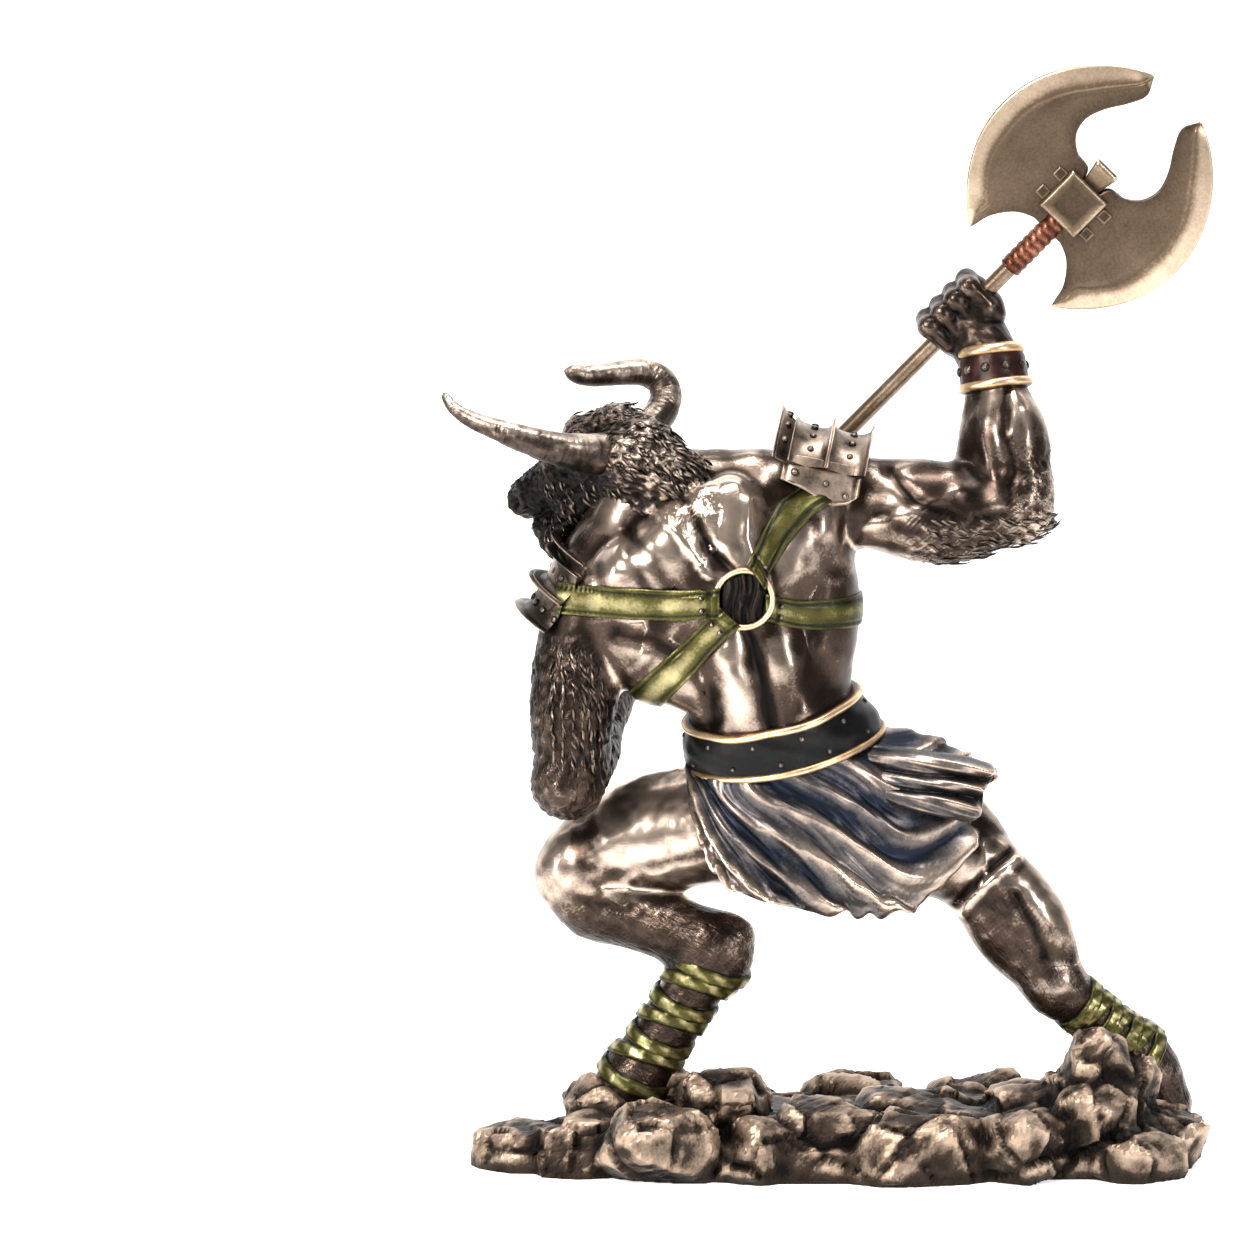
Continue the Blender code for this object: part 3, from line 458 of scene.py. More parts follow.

# %% [markdown]
# ## The patina
# One recipe makes every bronze here. One attribute says how raised a point is, and on some pieces painted
# light and painted shade are added to it. A ramp turns it from the black wash left in the hollows, over
# brown, to bare rubbed metal. Two noises break it up, because a hand rubs unevenly. Fine hair or grain is
# a bump, stretched along the way that it grows.


# %% One recipe for rubbed bronze and washed colours
HOLLOW_AT, FIELD_AT, RIDGE_AT = 0.22, 0.55, 0.92


def patina(name, dark, mid, bright, rough=(0.5, 0.28), metal=0.9, mottle=0.35, mottle_size=6.0, grain=None):
    """Grain is (attribute, scales, strength): fine hair that follows the attribute."""
    material = bpy.data.materials.new(name)
    material.use_nodes = True
    nodes, links = material.node_tree.nodes, material.node_tree.links
    shader = nodes["Principled BSDF"]
    shader.inputs["Metallic"].default_value = metal

    def node(kind, **settings):
        made_node = nodes.new(kind)
        for key, value in settings.items():
            setattr(made_node, key, value)
        return made_node

    def math_node(operation, a, b, clamp=False):
        m = node("ShaderNodeMath", operation=operation, use_clamp=clamp)
        for socket, value in zip(m.inputs, (a, b)):
            if isinstance(value, (int, float)):
                socket.default_value = value
            else:
                links.new(value, socket)
        return m.outputs[0]

    place = node("ShaderNodeTexCoord").outputs["Object"]

    def speckle(per_mm, detail):
        tex = node("ShaderNodeTexNoise")
        tex.inputs["Scale"].default_value = per_mm / MM
        tex.inputs["Detail"].default_value = detail
        tex.inputs["Roughness"].default_value = 0.55
        links.new(place, tex.inputs["Vector"])
        return tex.outputs["Fac"]

    worn = node("ShaderNodeAttribute", attribute_name="worn").outputs["Fac"]
    blotch = speckle(1 / mottle_size, 4)
    fine = speckle(1.3, 3)
    uneven = math_node("ADD", worn, math_node("MULTIPLY", math_node("SUBTRACT", blotch, 0.5), mottle * 2))
    uneven = math_node("ADD", uneven, math_node("MULTIPLY", math_node("SUBTRACT", fine, 0.5), 0.25),
                       clamp=True)
    ramp = node("ShaderNodeValToRGB")
    links.new(uneven, ramp.inputs["Fac"])
    stops = ramp.color_ramp.elements
    stops[0].position, stops[0].color = HOLLOW_AT, (*dark, 1)
    stops[1].position, stops[1].color = RIDGE_AT, (*bright, 1)
    middle = stops.new(FIELD_AT)
    middle.color = (*mid, 1)
    colour = ramp.outputs["Color"]
    links.new(colour, shader.inputs["Base Color"])
    gloss = node("ShaderNodeMapRange")
    gloss.inputs["To Min"].default_value, gloss.inputs["To Max"].default_value = rough
    links.new(uneven, gloss.inputs["Value"])
    links.new(gloss.outputs["Result"], shader.inputs["Roughness"])
    bump = node("ShaderNodeBump")
    bump.inputs["Strength"].default_value = 0.25
    bump.inputs["Distance"].default_value = 0.15 * MM
    links.new(speckle(2.2, 3), bump.inputs["Height"])
    links.new(bump.outputs["Normal"], shader.inputs["Normal"])
    if grain:
        label, scales, strength = grain
        flow = node("ShaderNodeAttribute", attribute_name=label).outputs["Vector"]
        stretch = node("ShaderNodeVectorMath", operation="MULTIPLY")
        stretch.inputs[1].default_value = scales
        links.new(flow, stretch.inputs[0])
        hair = node("ShaderNodeTexNoise")
        hair.inputs["Scale"].default_value = 1.0
        hair.inputs["Detail"].default_value = 2.0
        links.new(stretch.outputs["Vector"], hair.inputs["Vector"])
        comb = node("ShaderNodeBump")
        coat = node("ShaderNodeAttribute", attribute_name="coat").outputs["Fac"]
        links.new(math_node("MULTIPLY", coat, strength), comb.inputs["Strength"])
        comb.inputs["Distance"].default_value = 0.35 * MM
        links.new(hair.outputs["Fac"], comb.inputs["Height"])
        links.new(bump.outputs["Normal"], comb.inputs["Normal"])
        links.new(comb.outputs["Normal"], shader.inputs["Normal"])
    return material

print("materials so far:", len(bpy.data.materials))

# %% [markdown]
# ## The statue's finishes
# Every finish is three colours for hollow, field and ridge. Skin, fur, horn and rock are one metal, rubbed
# more or less. Straps, kilt and bracer have a thin wash over it, so metal shows on their edges.

# %% Finishes
skin_bronze = patina("rubbed_bronze_skin", (0.008, 0.006, 0.005), (0.066, 0.044, 0.033), (0.66, 0.52, 0.42),
                     (0.38, 0.19), mottle=0.22, mottle_size=9, grain=("flow", (1.5, 1.5, 0.2), 0.8))
fur_bronze = patina("bronze_fur", (0.006, 0.005, 0.0045), (0.034, 0.024, 0.019), (0.44, 0.34, 0.27),
                    (0.48, 0.26), grain=("flow", (1.6, 1.6, 0.22), 0.55), mottle=0.2)
horn_bronze = patina("bronze_horn", (0.010, 0.008, 0.006), (0.085, 0.062, 0.049), (0.6, 0.48, 0.39),
                     (0.46, 0.26), grain=("flow", (1.4, 1.4, 0.25), 0.3), mottle=0.3, mottle_size=4)
rock_bronze = patina("bronze_rock", (0.006, 0.0045, 0.004), (0.045, 0.031, 0.022), (0.46, 0.34, 0.25),
                     (0.62, 0.42), mottle=0.3, mottle_size=11)
armour_bronze = patina("armour_bronze", (0.03, 0.022, 0.016), (0.33, 0.25, 0.195), (0.9, 0.76, 0.64),
                       (0.45, 0.3))
gold_trim = patina("pale_gold_trim", (0.05, 0.025, 0.010), (0.38, 0.22, 0.10), (0.92, 0.68, 0.43),
                   (0.42, 0.28), metal=0.85)
belt_black = patina("black_belt", (0.004, 0.004, 0.004), (0.018, 0.015, 0.013), (0.18, 0.14, 0.11),
                    (0.4, 0.24), metal=0.7)
strap_green = patina("green_washed_strap", (0.010, 0.010, 0.003), (0.078, 0.070, 0.013), (0.62, 0.53, 0.27),
                     (0.4, 0.24), metal=0.7, mottle=0.25)
kilt_blue = patina("blue_washed_kilt", (0.012, 0.016, 0.026), (0.115, 0.10, 0.095), (0.62, 0.48, 0.38),
                   (0.42, 0.25), metal=0.9, mottle=0.3)
bracer_red = patina("red_leather_bracer", (0.010, 0.003, 0.003), (0.045, 0.012, 0.009), (0.35, 0.16, 0.11),
                    (0.42, 0.28), metal=0.6)
axe_bronze = patina("pale_axe_bronze", (0.035, 0.024, 0.016), (0.175, 0.122, 0.08), (0.72, 0.56, 0.41),
                    (0.44, 0.3), mottle=0.18, mottle_size=12)
cord_copper = patina("copper_cord", (0.012, 0.004, 0.003), (0.11, 0.034, 0.019), (0.55, 0.25, 0.15),
                     (0.48, 0.32))
rivet_metal = patina("dark_rivet", (0.008, 0.006, 0.005), (0.03, 0.023, 0.018), (0.22, 0.175, 0.14),
                     (0.42, 0.3))
print("materials:", len(bpy.data.materials))

# %% [markdown]
# ## The body's forms
# The same joints and muscles as in the solid model, so the dressed statue keeps its outline and pose. The
# torso leans to the left, the chest faces away from us, and +X is the arm with the axe.

# %% Forms of the torso and arms
SHAFT_AXIS = unit(vec(0.679, -0.213, 0.702))
SOCKET = vec(65.6, 3.0, 264.6)
BLADE_AXIS = unit(vec(0.719, 0, -0.695) - SHAFT_AXIS * (vec(0.719, 0, -0.695) @ SHAFT_AXIS))
FLAT_AXIS = np.cross(SHAFT_AXIS, BLADE_AXIS)
RIGHT_FIST = SOCKET - SHAFT_AXIS * 44.5
LEFT_HOCK, LEFT_FETLOCK = vec(-32, 1, 58.5), vec(-54.5, 2, 22.5)
RIGHT_HOCK, RIGHT_FETLOCK = vec(62, 1, 48), vec(85.5, 4, 29)
TO_BACK = (-0.2, -1, 0.1)
torso = [
    limb((-10, 1, 104), 20, (-15.5, 0, 120), 20), limb((-15.5, 0, 120), 20, (-31, 0, 158), 23),
    muscle((-62, 0, 150), (3, 3, 166), 28, 22, TO_BACK),
    muscle((-70, 0, 160), (2, 4, 181), 18, 19, TO_BACK),
    muscle((-40, 0, 113), (12, 2, 121), 13, 18, TO_BACK),
    muscle((-36, 2, 100), (18, 4, 104), 16, 20, TO_BACK),
    limb((-52, 5, 187), 10, (-10, 3, 188), 9), limb((-54, 4, 184), 10, (-67, -1, 164), 10),
    muscle((-61, -14, 152), (-40, -15, 181), 8.5, 7, (-0.4, -1, 0.3)),
    muscle((-46, -13, 156), (-34, -14, 188), 8, 8, (-0.1, -1, 0.4)),
    muscle((-25, -16, 160), (-29, -10, 190), 7.5, 8.5, (0.2, -1, 0.4)),
    muscle((-19, -15, 155), (-2, -9, 185), 9, 8.5, (0.3, -1, 0.2)),
    muscle((-62, -9, 158), (-53, -12, 169), 6.5, 9, (-0.4, -1, 0.1)),
    muscle((-66, -3, 166), (-46.5, -5, 129), 10.5, 13, (-0.5, -1, 0)),
    muscle((-54, -9, 150), (-34, -9, 127), 9, 10, (-0.3, -1, 0)),
    muscle((-6, 0, 180), (-8, -2, 122), 13.4, 15, (0.5, -1, 0)),
    muscle((-30, -17, 150), (-24, -14, 118), 5.8, 7, TO_BACK),
    muscle((-17, -17, 150), (-10, -13, 118), 5.8, 7, TO_BACK),
    muscle((-58, 12, 172), (-33, 17, 150), 14, 10, (-0.2, 1, 0)),
    muscle((-3, 11, 174), (-27, 17, 152), 13, 10, (0.2, 1, 0)),
    muscle((-27, 16, 144), (-18, 17, 112), 13, 8, (0, 1, 0)),
]
left_arm = [
    limb((-68.5, -1, 155), 12.5, (-73.4, -9, 105.5), 8.6),
    muscle((-71, -5, 150), (-74, -10, 110), 10.2, 9, (0, -1, 0)),
    muscle((-70, 3, 148), (-72, 0, 116), 8, 9, (-0.3, 1, 0)),
    limb((-73.4, -9, 105.5), 8.2, (-60.5, 36, 127), 6.2),
    muscle((-73.4, -9, 105.5), (-66, 18, 119), 9.2, 8.8, (0.4, 0, -1)),
]
right_arm = [
    limb((0, 3, 183), 12.5, (48.5, -2, 182), 9.6),
    muscle((6, -3, 178), (47, -4, 175), 9.5, 10.5, (0, -0.3, -1)),
    muscle((13, 1, 186), (38, -3, 181), 8.2, 9, (0, -0.6, 1)),
    limb((48.5, -2, 183.5), 9.8, (43.8, 7, 220), 8.2),
    muscle((51, -3, 186), (48, 1, 212), 9.2, 9.2, (1, -0.4, 0)),
    muscle((43, 1, 186), (43, 5, 210), 8.5, 8.5, (-1, 0, 0)),
    limb((55, -5, 187), 3.4, (53.5, -6, 178), 3.6),
]
print("forms above the belt:", len(torso) + len(left_arm) + len(right_arm))

# %% [markdown]
# ## Legs and hooves
# Both legs bend like a bull's: thigh, a hock that points back, a thin shank and a fetlock over the hoof.
# Joints shared with the wraps have names, so that both move together.

# %% Forms of the legs
left_leg = [
    limb((-21, 2, 95), 17.5, (-68, 13, 82.5), 11),
    muscle((-20, 6, 100), (-74, 15, 84), 12, 15, (0, 0.4, 1)),
    limb((-72, 13, 77.5), 11.4, (-64, 13, 70.5), 10.2),
    limb((-66, 12, 70.5), 10, LEFT_HOCK + (-4, 1, 2), 8.8),
    limb(LEFT_HOCK, 8.4, LEFT_FETLOCK, 8.2), limb(LEFT_HOCK + (5, -1, 3), 4.6, LEFT_HOCK + (3, 0, -5), 5.4),
    limb(LEFT_FETLOCK, 8.8, LEFT_FETLOCK + (-7, 2, -14), 11.5),
]
right_leg = [
    limb((5, 4, 97), 18.5, (39.5, 8, 79.5), 10.3),
    muscle((6, 10, 106), (48, 10, 84), 12, 12, (0.4, 0.4, 1)),
    muscle((14, -4, 94), (42, 1, 76), 8.5, 9, (-0.2, -1, 0.2)),
    muscle((39, 4, 88), (65, 0, 53), 9.6, 10.4, (1, -1, 0.6)),
    muscle((37, 3, 79), (57, 2, 50), 8.2, 9.2, (-1, -0.6, -1)), limb((45.5, 7, 72.5), 9.4, RIGHT_HOCK, 7),
    limb(RIGHT_HOCK, 7.4, RIGHT_FETLOCK, 6.4), limb(RIGHT_FETLOCK, 6.6, RIGHT_FETLOCK + (4, 1, -6), 6.6),
    limb(RIGHT_FETLOCK + (4, 1, -7), 6.8, RIGHT_FETLOCK + (7, 2, -15), 8.2),
]
legs = left_leg + right_leg
BODY_BLEND = 6.0
print("forms:", len(torso) + len(left_arm) + len(right_arm) + len(legs))

# %% [markdown]
# ## Carving
# A sculptor draws lines into the clay and presses dents. Here a line lowers or lifts the points near it,
# and a coat of fur is a noise stretched along the hair, over tufts that rise towards their tips.


# %% Carving tools
def path_distance(p, path):
    """Distance of points to a line through the path's corners."""
    best = np.full(len(p), 1e9)
    for a, b in zip(path, path[1:]):
        a, b = vec(*a), vec(*b)
        ab = b - a
        t = np.clip((p - a) @ ab / (ab @ ab), 0, 1)
        best = np.minimum(best, np.linalg.norm(p - a - t[:, None] * ab, axis=1))
    return best


def ridge(distance, width):
    """1 on a line, fading out smoothly to about nothing at twice the width."""
    return np.exp(-(distance / width) ** 2)


def back_lines(skin, lines):
    """Grooves and ridges drawn on the back, each as height, width and (x, z) corners."""
    seen = np.clip(-skin.normals()[:, 1] * 2.5, 0, 1)
    total = np.zeros(len(seen))
    for height, width, *path in lines:
        total += height * ridge(path_distance(skin.points[:, [0, 2]], path), width)
    return total * seen


def along_frame(axis):
    axis = unit(vec(*axis))
    side = unit(np.cross(axis, vec(0.3, 1, 0.2)))
    return np.array([side, np.cross(axis, side), axis])


def fur(p, axis, length=6.5, width=1.5, height=0.4, seed=3):
    """Long tufts that rise along the axis and end in ragged tips, with strands on them."""
    q = p @ along_frame(axis).T
    wander = [noise(q / (5, 5, 7), seed + 11), noise(q / (5, 5, 7), seed + 12), noise(q / 6, seed + 13)]
    q = q + 1.3 * np.stack(wander, axis=1)
    offset, _, gap, _ = cells(q / (width, width, length), seed)
    tuft = (0.5 + offset[:, 2]) * (0.45 + 0.55 * np.clip(gap * 3, 0, 1))
    strand = 1 - np.abs(noise(q / (0.9, 0.9, 5.0), seed + 5)) * 2
    return height * (tuft * 1.2 + strand * 0.45 - 0.5)


def reach(values, low, high):
    """0 below low, 1 above high and smooth between."""
    t = np.clip((values - low) / (high - low), 0, 1)
    return t * t * (3 - 2 * t)


def flow_coordinates(p, axis):
    return p @ along_frame(axis).T


print("a groove fades to", round(float(ridge(2.0, 1.0)), 3), "of its depth at twice its width")

# %% [markdown]
# ## Torso and arms
# On the real statue the back is the show side: a deep spine, ridges of muscle, and fur on both arms. The
# grooves could be a painted height map, but a list of lines with a height and a width is easier to move,
# so each line lowers or lifts the skin beside it. Fur fades in where an arm leaves the torso, and the
# straps press it flat.

# %% Torso and arms
upper = sculpt(torso + left_arm + right_arm, VOXEL["body"], BODY_BLEND)
p = upper.points
BACK_LINES = [
    (-1.2, 2.2, (-41, 184), (-35, 172), (-27, 163), (-24.5, 150), (-20, 136), (-17, 118)),
    (-0.5, 2.2, (-57, 176), (-50, 168), (-45, 158), (-40, 150)),
    (-0.5, 2.0, (-13, 184), (-20, 172), (-17, 160), (-22, 152)),
    (-0.4, 2.2, (-6, 178), (-3, 166), (-5, 152), (-9, 136), (-12, 124)),
    (-0.5, 2.2, (-60, 148), (-50, 146), (-42, 142), (-36, 132), (-34, 122)),
    (0.7, 1.2, (-50, 182), (-44, 176), (-38, 168), (-33, 160)),
    (0.7, 1.3, (-24, 184), (-25, 174), (-22, 166), (-20, 158)),
    (-0.4, 1.6, (-57, 170), (-52, 161), (-50, 154)), (0.3, 2.6, (-31, 148), (-29, 138), (-26, 128)),
    (0.2, 2.6, (-13, 146), (-11, 134), (-9, 124)),
]
ARM_LINES = [
    (-0.9, 1.8, (14, 192), (22, 183), (36, 178), (46, 180)), (-0.6, 1.8, (12, 180), (24, 173), (38, 171)),
    (0.5, 1.6, (8, 176), (20, 180), (33, 186)), (-0.9, 1.5, (47, 214), (46, 202), (49, 192), (47, 184)),
    (0.6, 1.5, (41, 212), (40, 200), (43, 190)), (0.5, 1.3, (52, 208), (53, 197), (54, 190)),
]
relief = back_lines(upper, BACK_LINES + ARM_LINES)
on_back = reach(-upper.normals()[:, 1], -0.2, 0.5)
relief += on_back * 0.5 * noise(p / (7.5, 8, 10.0), 5) + 0.22 * noise(p / 4.0, 9)
print("back and arm lines:", len(BACK_LINES) + len(ARM_LINES))

# %% [markdown]
# ## Fur, and room for the straps
# Long tufts grow on both arms and at the nape. Each point knows how near every part is, and from that comes
# where fur fades in. Where a strap or the belt lies, ridges are pressed flat, as a tight strap does.

# %% Coats of the arms
to_left_arm = np.minimum.reduce([distance_to(p, f) for f in left_arm])
to_right_arm = np.minimum.reduce([distance_to(p, f) for f in right_arm])
to_torso = skin_distance(p, torso, BODY_BLEND)
fur_left = reach(to_torso - to_left_arm, 0.5, 4) * reach(150 - p[:, 2], 0, 8)
fur_right = reach(to_torso - to_right_arm, 0.5, 4) * reach(p[:, 0], 14, 24)
fur_right *= np.clip(reach(184 - p[:, 2], 0, 8)
                     + reach(p[:, 0] - 42, 0, 8) * reach(206 - p[:, 2], 0, 12) * 0.8, 0, 1)
nape = reach(9.5 - path_distance(p, [(-52, -14, 188), (-44, -17, 184), (-38, -18, 180)]), 0, 5)
left_coat = fur(p, (0.1, 0.1, -1), 5.0, 1.9, 0.62)
right_coat = fur(p, (0.9, -0.1, -0.5), 5.0, 1.8, 0.5, 21)
nape_coat = fur(p, (0.6, -0.2, -0.9), 5.0, 1.3, 0.2, 41)
RING, RING_RADIUS, RING_WIRE = vec(-25.5, -24.9, 157.5), 7.7, 0.8
LEVEL, SLANT = unit(vec(0.03, 0.1, 1.0)), unit(vec(-0.66, 0.12, 0.74))
BELT_MIDDLE, BELT_LEAN = vec(-15.5, 0, 120.2), unit(vec(-0.21, -0.235, 1.0))
bound = np.maximum.reduce([reach(half - np.abs((p - spot) @ normal), 0, 2) for half, spot, normal in (
    (6.5, RING, LEVEL), (6.5, RING, SLANT), (9, BELT_MIDDLE, BELT_LEAN))])
bound *= (to_torso < to_left_arm) | (p[:, 2] > 148)
relief = np.where(relief > 0, relief * (1 - bound), relief)
coats = fur_left * left_coat + fur_right * right_coat + nape * nape_coat * (1 - bound)
upper.raise_by(relief * (1 - 0.6 * np.maximum(fur_left, fur_right)) + coats)
below_belt = reach(-5.5 - (p - BELT_MIDDLE) @ BELT_LEAN, 0, 3)
upper.raise_by(-3.0 * below_belt * (to_torso < to_left_arm))
upper_coat = np.clip(fur_left + fur_right + nape, 0, 1)
flow = np.where((p[:, 0] > 10)[:, None], flow_coordinates(p, (0.9, -0.1, -0.5)),
                flow_coordinates(p, (0.1, 0.1, -1)))
# Painted light and shade: darker over both arms and on the side away from the back, a painted highlight on
# the upper left of the back, and painted shade on its lower right.
painted_light_and_shade = (1 - 0.22 * reach(p[:, 0], 12, 30) * reach(208 - p[:, 2], 0, 10)
             - 0.42 * reach(to_torso - to_left_arm, 0, 6))
painted_light_and_shade -= 0.2 * (1 - on_back)
painted_light_and_shade += (on_back * 0.38 * reach(p[:, 2] - 160, 0, 10) * reach(-5 - p[:, 0], 0, 20)
              * reach(192 - p[:, 2], -4, 6) * reach(p[:, 0] + 66, 0, 8))
painted_light_and_shade -= 0.22 * reach(p[:, 0] + 22, 0, 8) * reach(166 - p[:, 2], 0, 8)
hand_over("torso_and_arms", upper.points, upper.quads, skin_bronze, FIGURE, flow=flow, coat=upper_coat,
          worn=upper.raisedness() * painted_light_and_shade)

# %% [markdown]
# ## Legs
# Bare thighs and shaggy shanks, on hooves that go down into the rock. They are made like the torso. The
# coat grows from the calf downwards, and the points below the statue's flat underside are lifted to it.

# %% Legs
lower = sculpt(legs, VOXEL["legs"], BODY_BLEND)
p = lower.points
relief = 0.3 * noise(p / 6.5, 15) + 0.12 * noise(p / 2.4, 16)
LEG_LINES = [
    (-0.4, 2.0, (-60, 80), (-45, 84), (-30, 88)), (-0.8, 1.3, (34, 71), (38, 77), (44, 83), (49, 86)),
    (0.7, 1.2, (36, 69), (40, 75), (46, 81), (51, 84)), (-0.8, 1.4, (50, 75), (55, 66), (58, 58)),
    (-0.4, 1.8, (-70, 72), (-55, 69), (-42, 66)),
]
relief += back_lines(lower, LEG_LINES)
shin_left = limb((-64, 12, 66), 12, LEFT_HOCK, 11)
shin_right = limb((50, 3, 66), 12, RIGHT_HOCK, 11)
calf = np.maximum(reach(3 - distance_to(p, shin_left), 0, 4) * reach(74 - p[:, 2], 0, 5),
                  reach(3 - distance_to(p, shin_right), 0, 4) * 0.6)
coat = np.where(p[:, 0] < 0, fur(p, (0.85, -0.2, -0.5), 6.0, 1.5, 0.24, 51),
                fur(p, (0.5, -0.2, -0.85), 6.0, 1.5, 0.24, 61))
low_fur = np.maximum(calf, reach(50 - p[:, 2], 0, 4))
lower.raise_by(relief * (1 - 0.5 * low_fur) + coat * low_fur)
lower.points[:, 2] = np.maximum(lower.points[:, 2], 0.4)
flow = np.where((p[:, 0] > -8)[:, None], flow_coordinates(p, (0.5, -0.2, -0.85)),
                flow_coordinates(p, (0.85, -0.2, -0.5)))
low_coat = np.clip(low_fur, 0, 1)
# A painted highlight on the left thigh.
painted_thigh_highlight = reach(-34 - p[:, 0], 0, 10) * reach(p[:, 0] + 72, 0, 12) * reach(p[:, 2] - 66, 0, 6)
hand_over("legs", lower.points, lower.quads, skin_bronze, FIGURE, flow=flow, coat=low_coat,
          worn=lower.raisedness() * (0.95 - 0.38 * low_coat + 0.3 * painted_thigh_highlight))

# %% [markdown]
# ## Swept and wrapped pieces
# A horn, a roll of cloth and a shaft are loops set one after the other along a line. A belt is a strip
# laid on the body: rays from inside the body find the skin, and the strip stands a little off it.


# %% Lofts
def loft(loops, ring=False):
    """Points and faces over closed loops of equal length. A ring joins its last loop to its first."""
    count, sides = loops.shape[:2]
    points = loops.reshape(-1, 3)
    i, s = np.meshgrid(np.arange(count if ring else count - 1), np.arange(sides), indexing="ij")
    j, t = (i + 1) % count, (s + 1) % sides
    faces = np.stack([i * sides + s, i * sides + t, j * sides + t, j * sides + s],
                     axis=-1).reshape(-1, 4).tolist()
    if not ring:
        for row, flip in ((0, True), (count - 1, False)):
            hub = len(points)
            points = np.vstack([points, loops[row].mean(axis=0)])
            for a in range(sides):
                pair = [row * sides + a, row * sides + (a + 1) % sides]
                faces.append([hub] + (pair[::-1] if flip else pair))
    return points, faces


def volume(points, faces):
    total = 0.0
    for size in (3, 4):
        group = np.array([f for f in faces if len(f) == size], dtype=int)
        for k in range(1, size - 1) if len(group) else ():
            a, b, c = points[group[:, 0]], points[group[:, k]], points[group[:, k + 1]]
            total += (a * np.cross(b, c)).sum() / 6
    return total


def hand_over_loft(name, loops, material, node, ring=False, **values):
    """A finished piece from loops. Each value is given for each loop and each place round it."""
    points, faces = loft(loops, ring)
    if volume(points, faces) < 0:
        faces = [f[::-1] for f in faces]
    flat = {}
    for label, value in values.items():
        value = np.asarray(value, dtype=float)
        value = np.broadcast_to(value, loops.shape[:2] + value.shape[2:])
        rows = value.reshape(-1, *value.shape[2:])
        ends = [] if ring else [value[0].mean(axis=0), value[-1].mean(axis=0)]
        flat[label] = np.concatenate([rows, np.array(ends).reshape(len(ends), *value.shape[2:])])
    return hand_over(name, points, faces, material, node, **flat)


print("a loft of 2 loops of 4 has", len(loft(np.zeros((2, 4, 3)))[1]), "faces")

# %% [markdown]
# ## Smooth lines and tubes
# A horn follows a curve, and a frame travels along it without twisting, so that its loops stay in line. A
# curve object could do this, but then the relief couldn't be set point by point.


# %% Lines and tubes
def smooth_path(stations, count):
    """A smooth curve through stations, read at even shares."""
    s = np.array([[float(c) for c in station] for station in stations])
    padded = np.vstack([2 * s[0] - s[1], s, 2 * s[-1] - s[-2]])
    t = np.linspace(0, len(s) - 1 - 1e-6, count)
    i = t.astype(int)
    f = (t - i)[:, None]
    p0, p1, p2, p3 = padded[i], padded[i + 1], padded[i + 2], padded[i + 3]
    return 0.5 * (2 * p1 + (p2 - p0) * f + (2 * p0 - 5 * p1 + 4 * p2 - p3) * f ** 2
                  + (3 * p1 - p0 - 3 * p2 + p3) * f ** 3)


def travelling_frame(path, start=(0.31, 0.2, 0.93)):
    along = unit(np.gradient(path, axis=0))
    side = [unit(np.cross(along[0], vec(*start)))]
    for a in along[1:]:
        side.append(unit(side[-1] - a * (side[-1] @ a)))
    side = np.array(side)
    return along, side, np.cross(along, side)


def tube(stations, rings, sides, relief=None):
    """Loops round a smooth line of (x, y, z, radius). Relief adds to the radius at (share, angle)."""
    line = smooth_path(stations, rings)
    path, radius = line[:, :3], line[:, 3:]
    _, side, up = travelling_frame(path)
    angle = np.linspace(0, 2 * math.pi, sides, endpoint=False)
    share = np.linspace(0, 1, rings)[:, None]
    radius = radius * np.ones(sides)
    if relief:
        radius = radius + relief(share, angle[None], radius)
    spoke = side[:, None] * np.cos(angle)[None, :, None] + up[:, None] * np.sin(angle)[None, :, None]
    return path[:, None] + radius[..., None] * spoke, share, angle[None]


trial = smooth_path([(0, 0), (1, 1), (2, 0)], 5)
print("a quarter of the way along a smooth arch:", trial[1].round(2))

# %% [markdown]
# ## Bands laid on the body
# A strap lies on muscle. Rays leave a middle inside the body, each stops at the blended skin, and the row
# of hits is the strap's path. Shrinkwrap would do as much, but would need a finished mesh to land on.


# %% Bands
def headings_frame(normal):
    """Two ways across a normal: heading 0 is to the left, and a quarter turn faces the viewer of the back."""
    side = unit(np.cross(normal, vec(0, 1, 0)))
    return side, np.cross(normal, side)


def laid_band(forms, centre, normal, across, steps, first=0.0, last=2 * math.pi, far=60.0, shift=None,
              ease=3):
    """Where rays from a centre meet the skin: a row for each heading, a column for each offset across."""
    normal = unit(vec(*normal))
    side, front = headings_frame(normal)
    whole = abs(last - first - 2 * math.pi) < 1e-6
    heading = np.linspace(first, last, steps, endpoint=not whole)
    way = side * np.cos(heading)[:, None] + front * np.sin(heading)[:, None]
    across = np.atleast_2d(np.asarray(across, dtype=float))
    offset = np.broadcast_to(across, (steps, across.shape[1])).copy()
    if shift is not None:
        offset += shift(heading)[:, None]
    origin = (vec(*centre) + offset[..., None] * normal).reshape(-1, 3)
    ways = np.repeat(way, across.shape[1], axis=0)
    t = np.full(len(origin), float(far))
    for _ in range(34):
        t -= 0.9 * skin_distance(origin + ways * t[:, None], forms, BODY_BLEND)
    t = t.reshape(steps, -1)
    for _ in range(ease):
        before, after = np.roll(t, 1, axis=0), np.roll(t, -1, axis=0)
        if not whole:
            before[0], after[-1] = t[0], t[-1]
        t = t * 0.5 + (before + after) * 0.25
    points = origin.reshape(steps, -1, 3) + way[:, None] * t[..., None]
    out = out_of_skin(points.reshape(-1, 3), forms, BODY_BLEND, 0.5).reshape(points.shape)
    return points, out, heading


def thick_band(points, out, rise, sink=0.8):
    """Loops of a strip whose face stands by rise off the skin and whose back sinks into it."""
    face = points + out * rise[..., None]
    back = points - out * sink
    return np.concatenate([face[:, ::-1], back], axis=1)


def face_and_back(values, back=0.0):
    return np.concatenate([values[:, ::-1], np.full_like(values, back)], axis=1)


def band_noise(points, bump, seed):
    """Noise at each point of a band, with bumps of the given size."""
    return noise(points.reshape(-1, 3) / bump, seed).reshape(points.shape[:2])


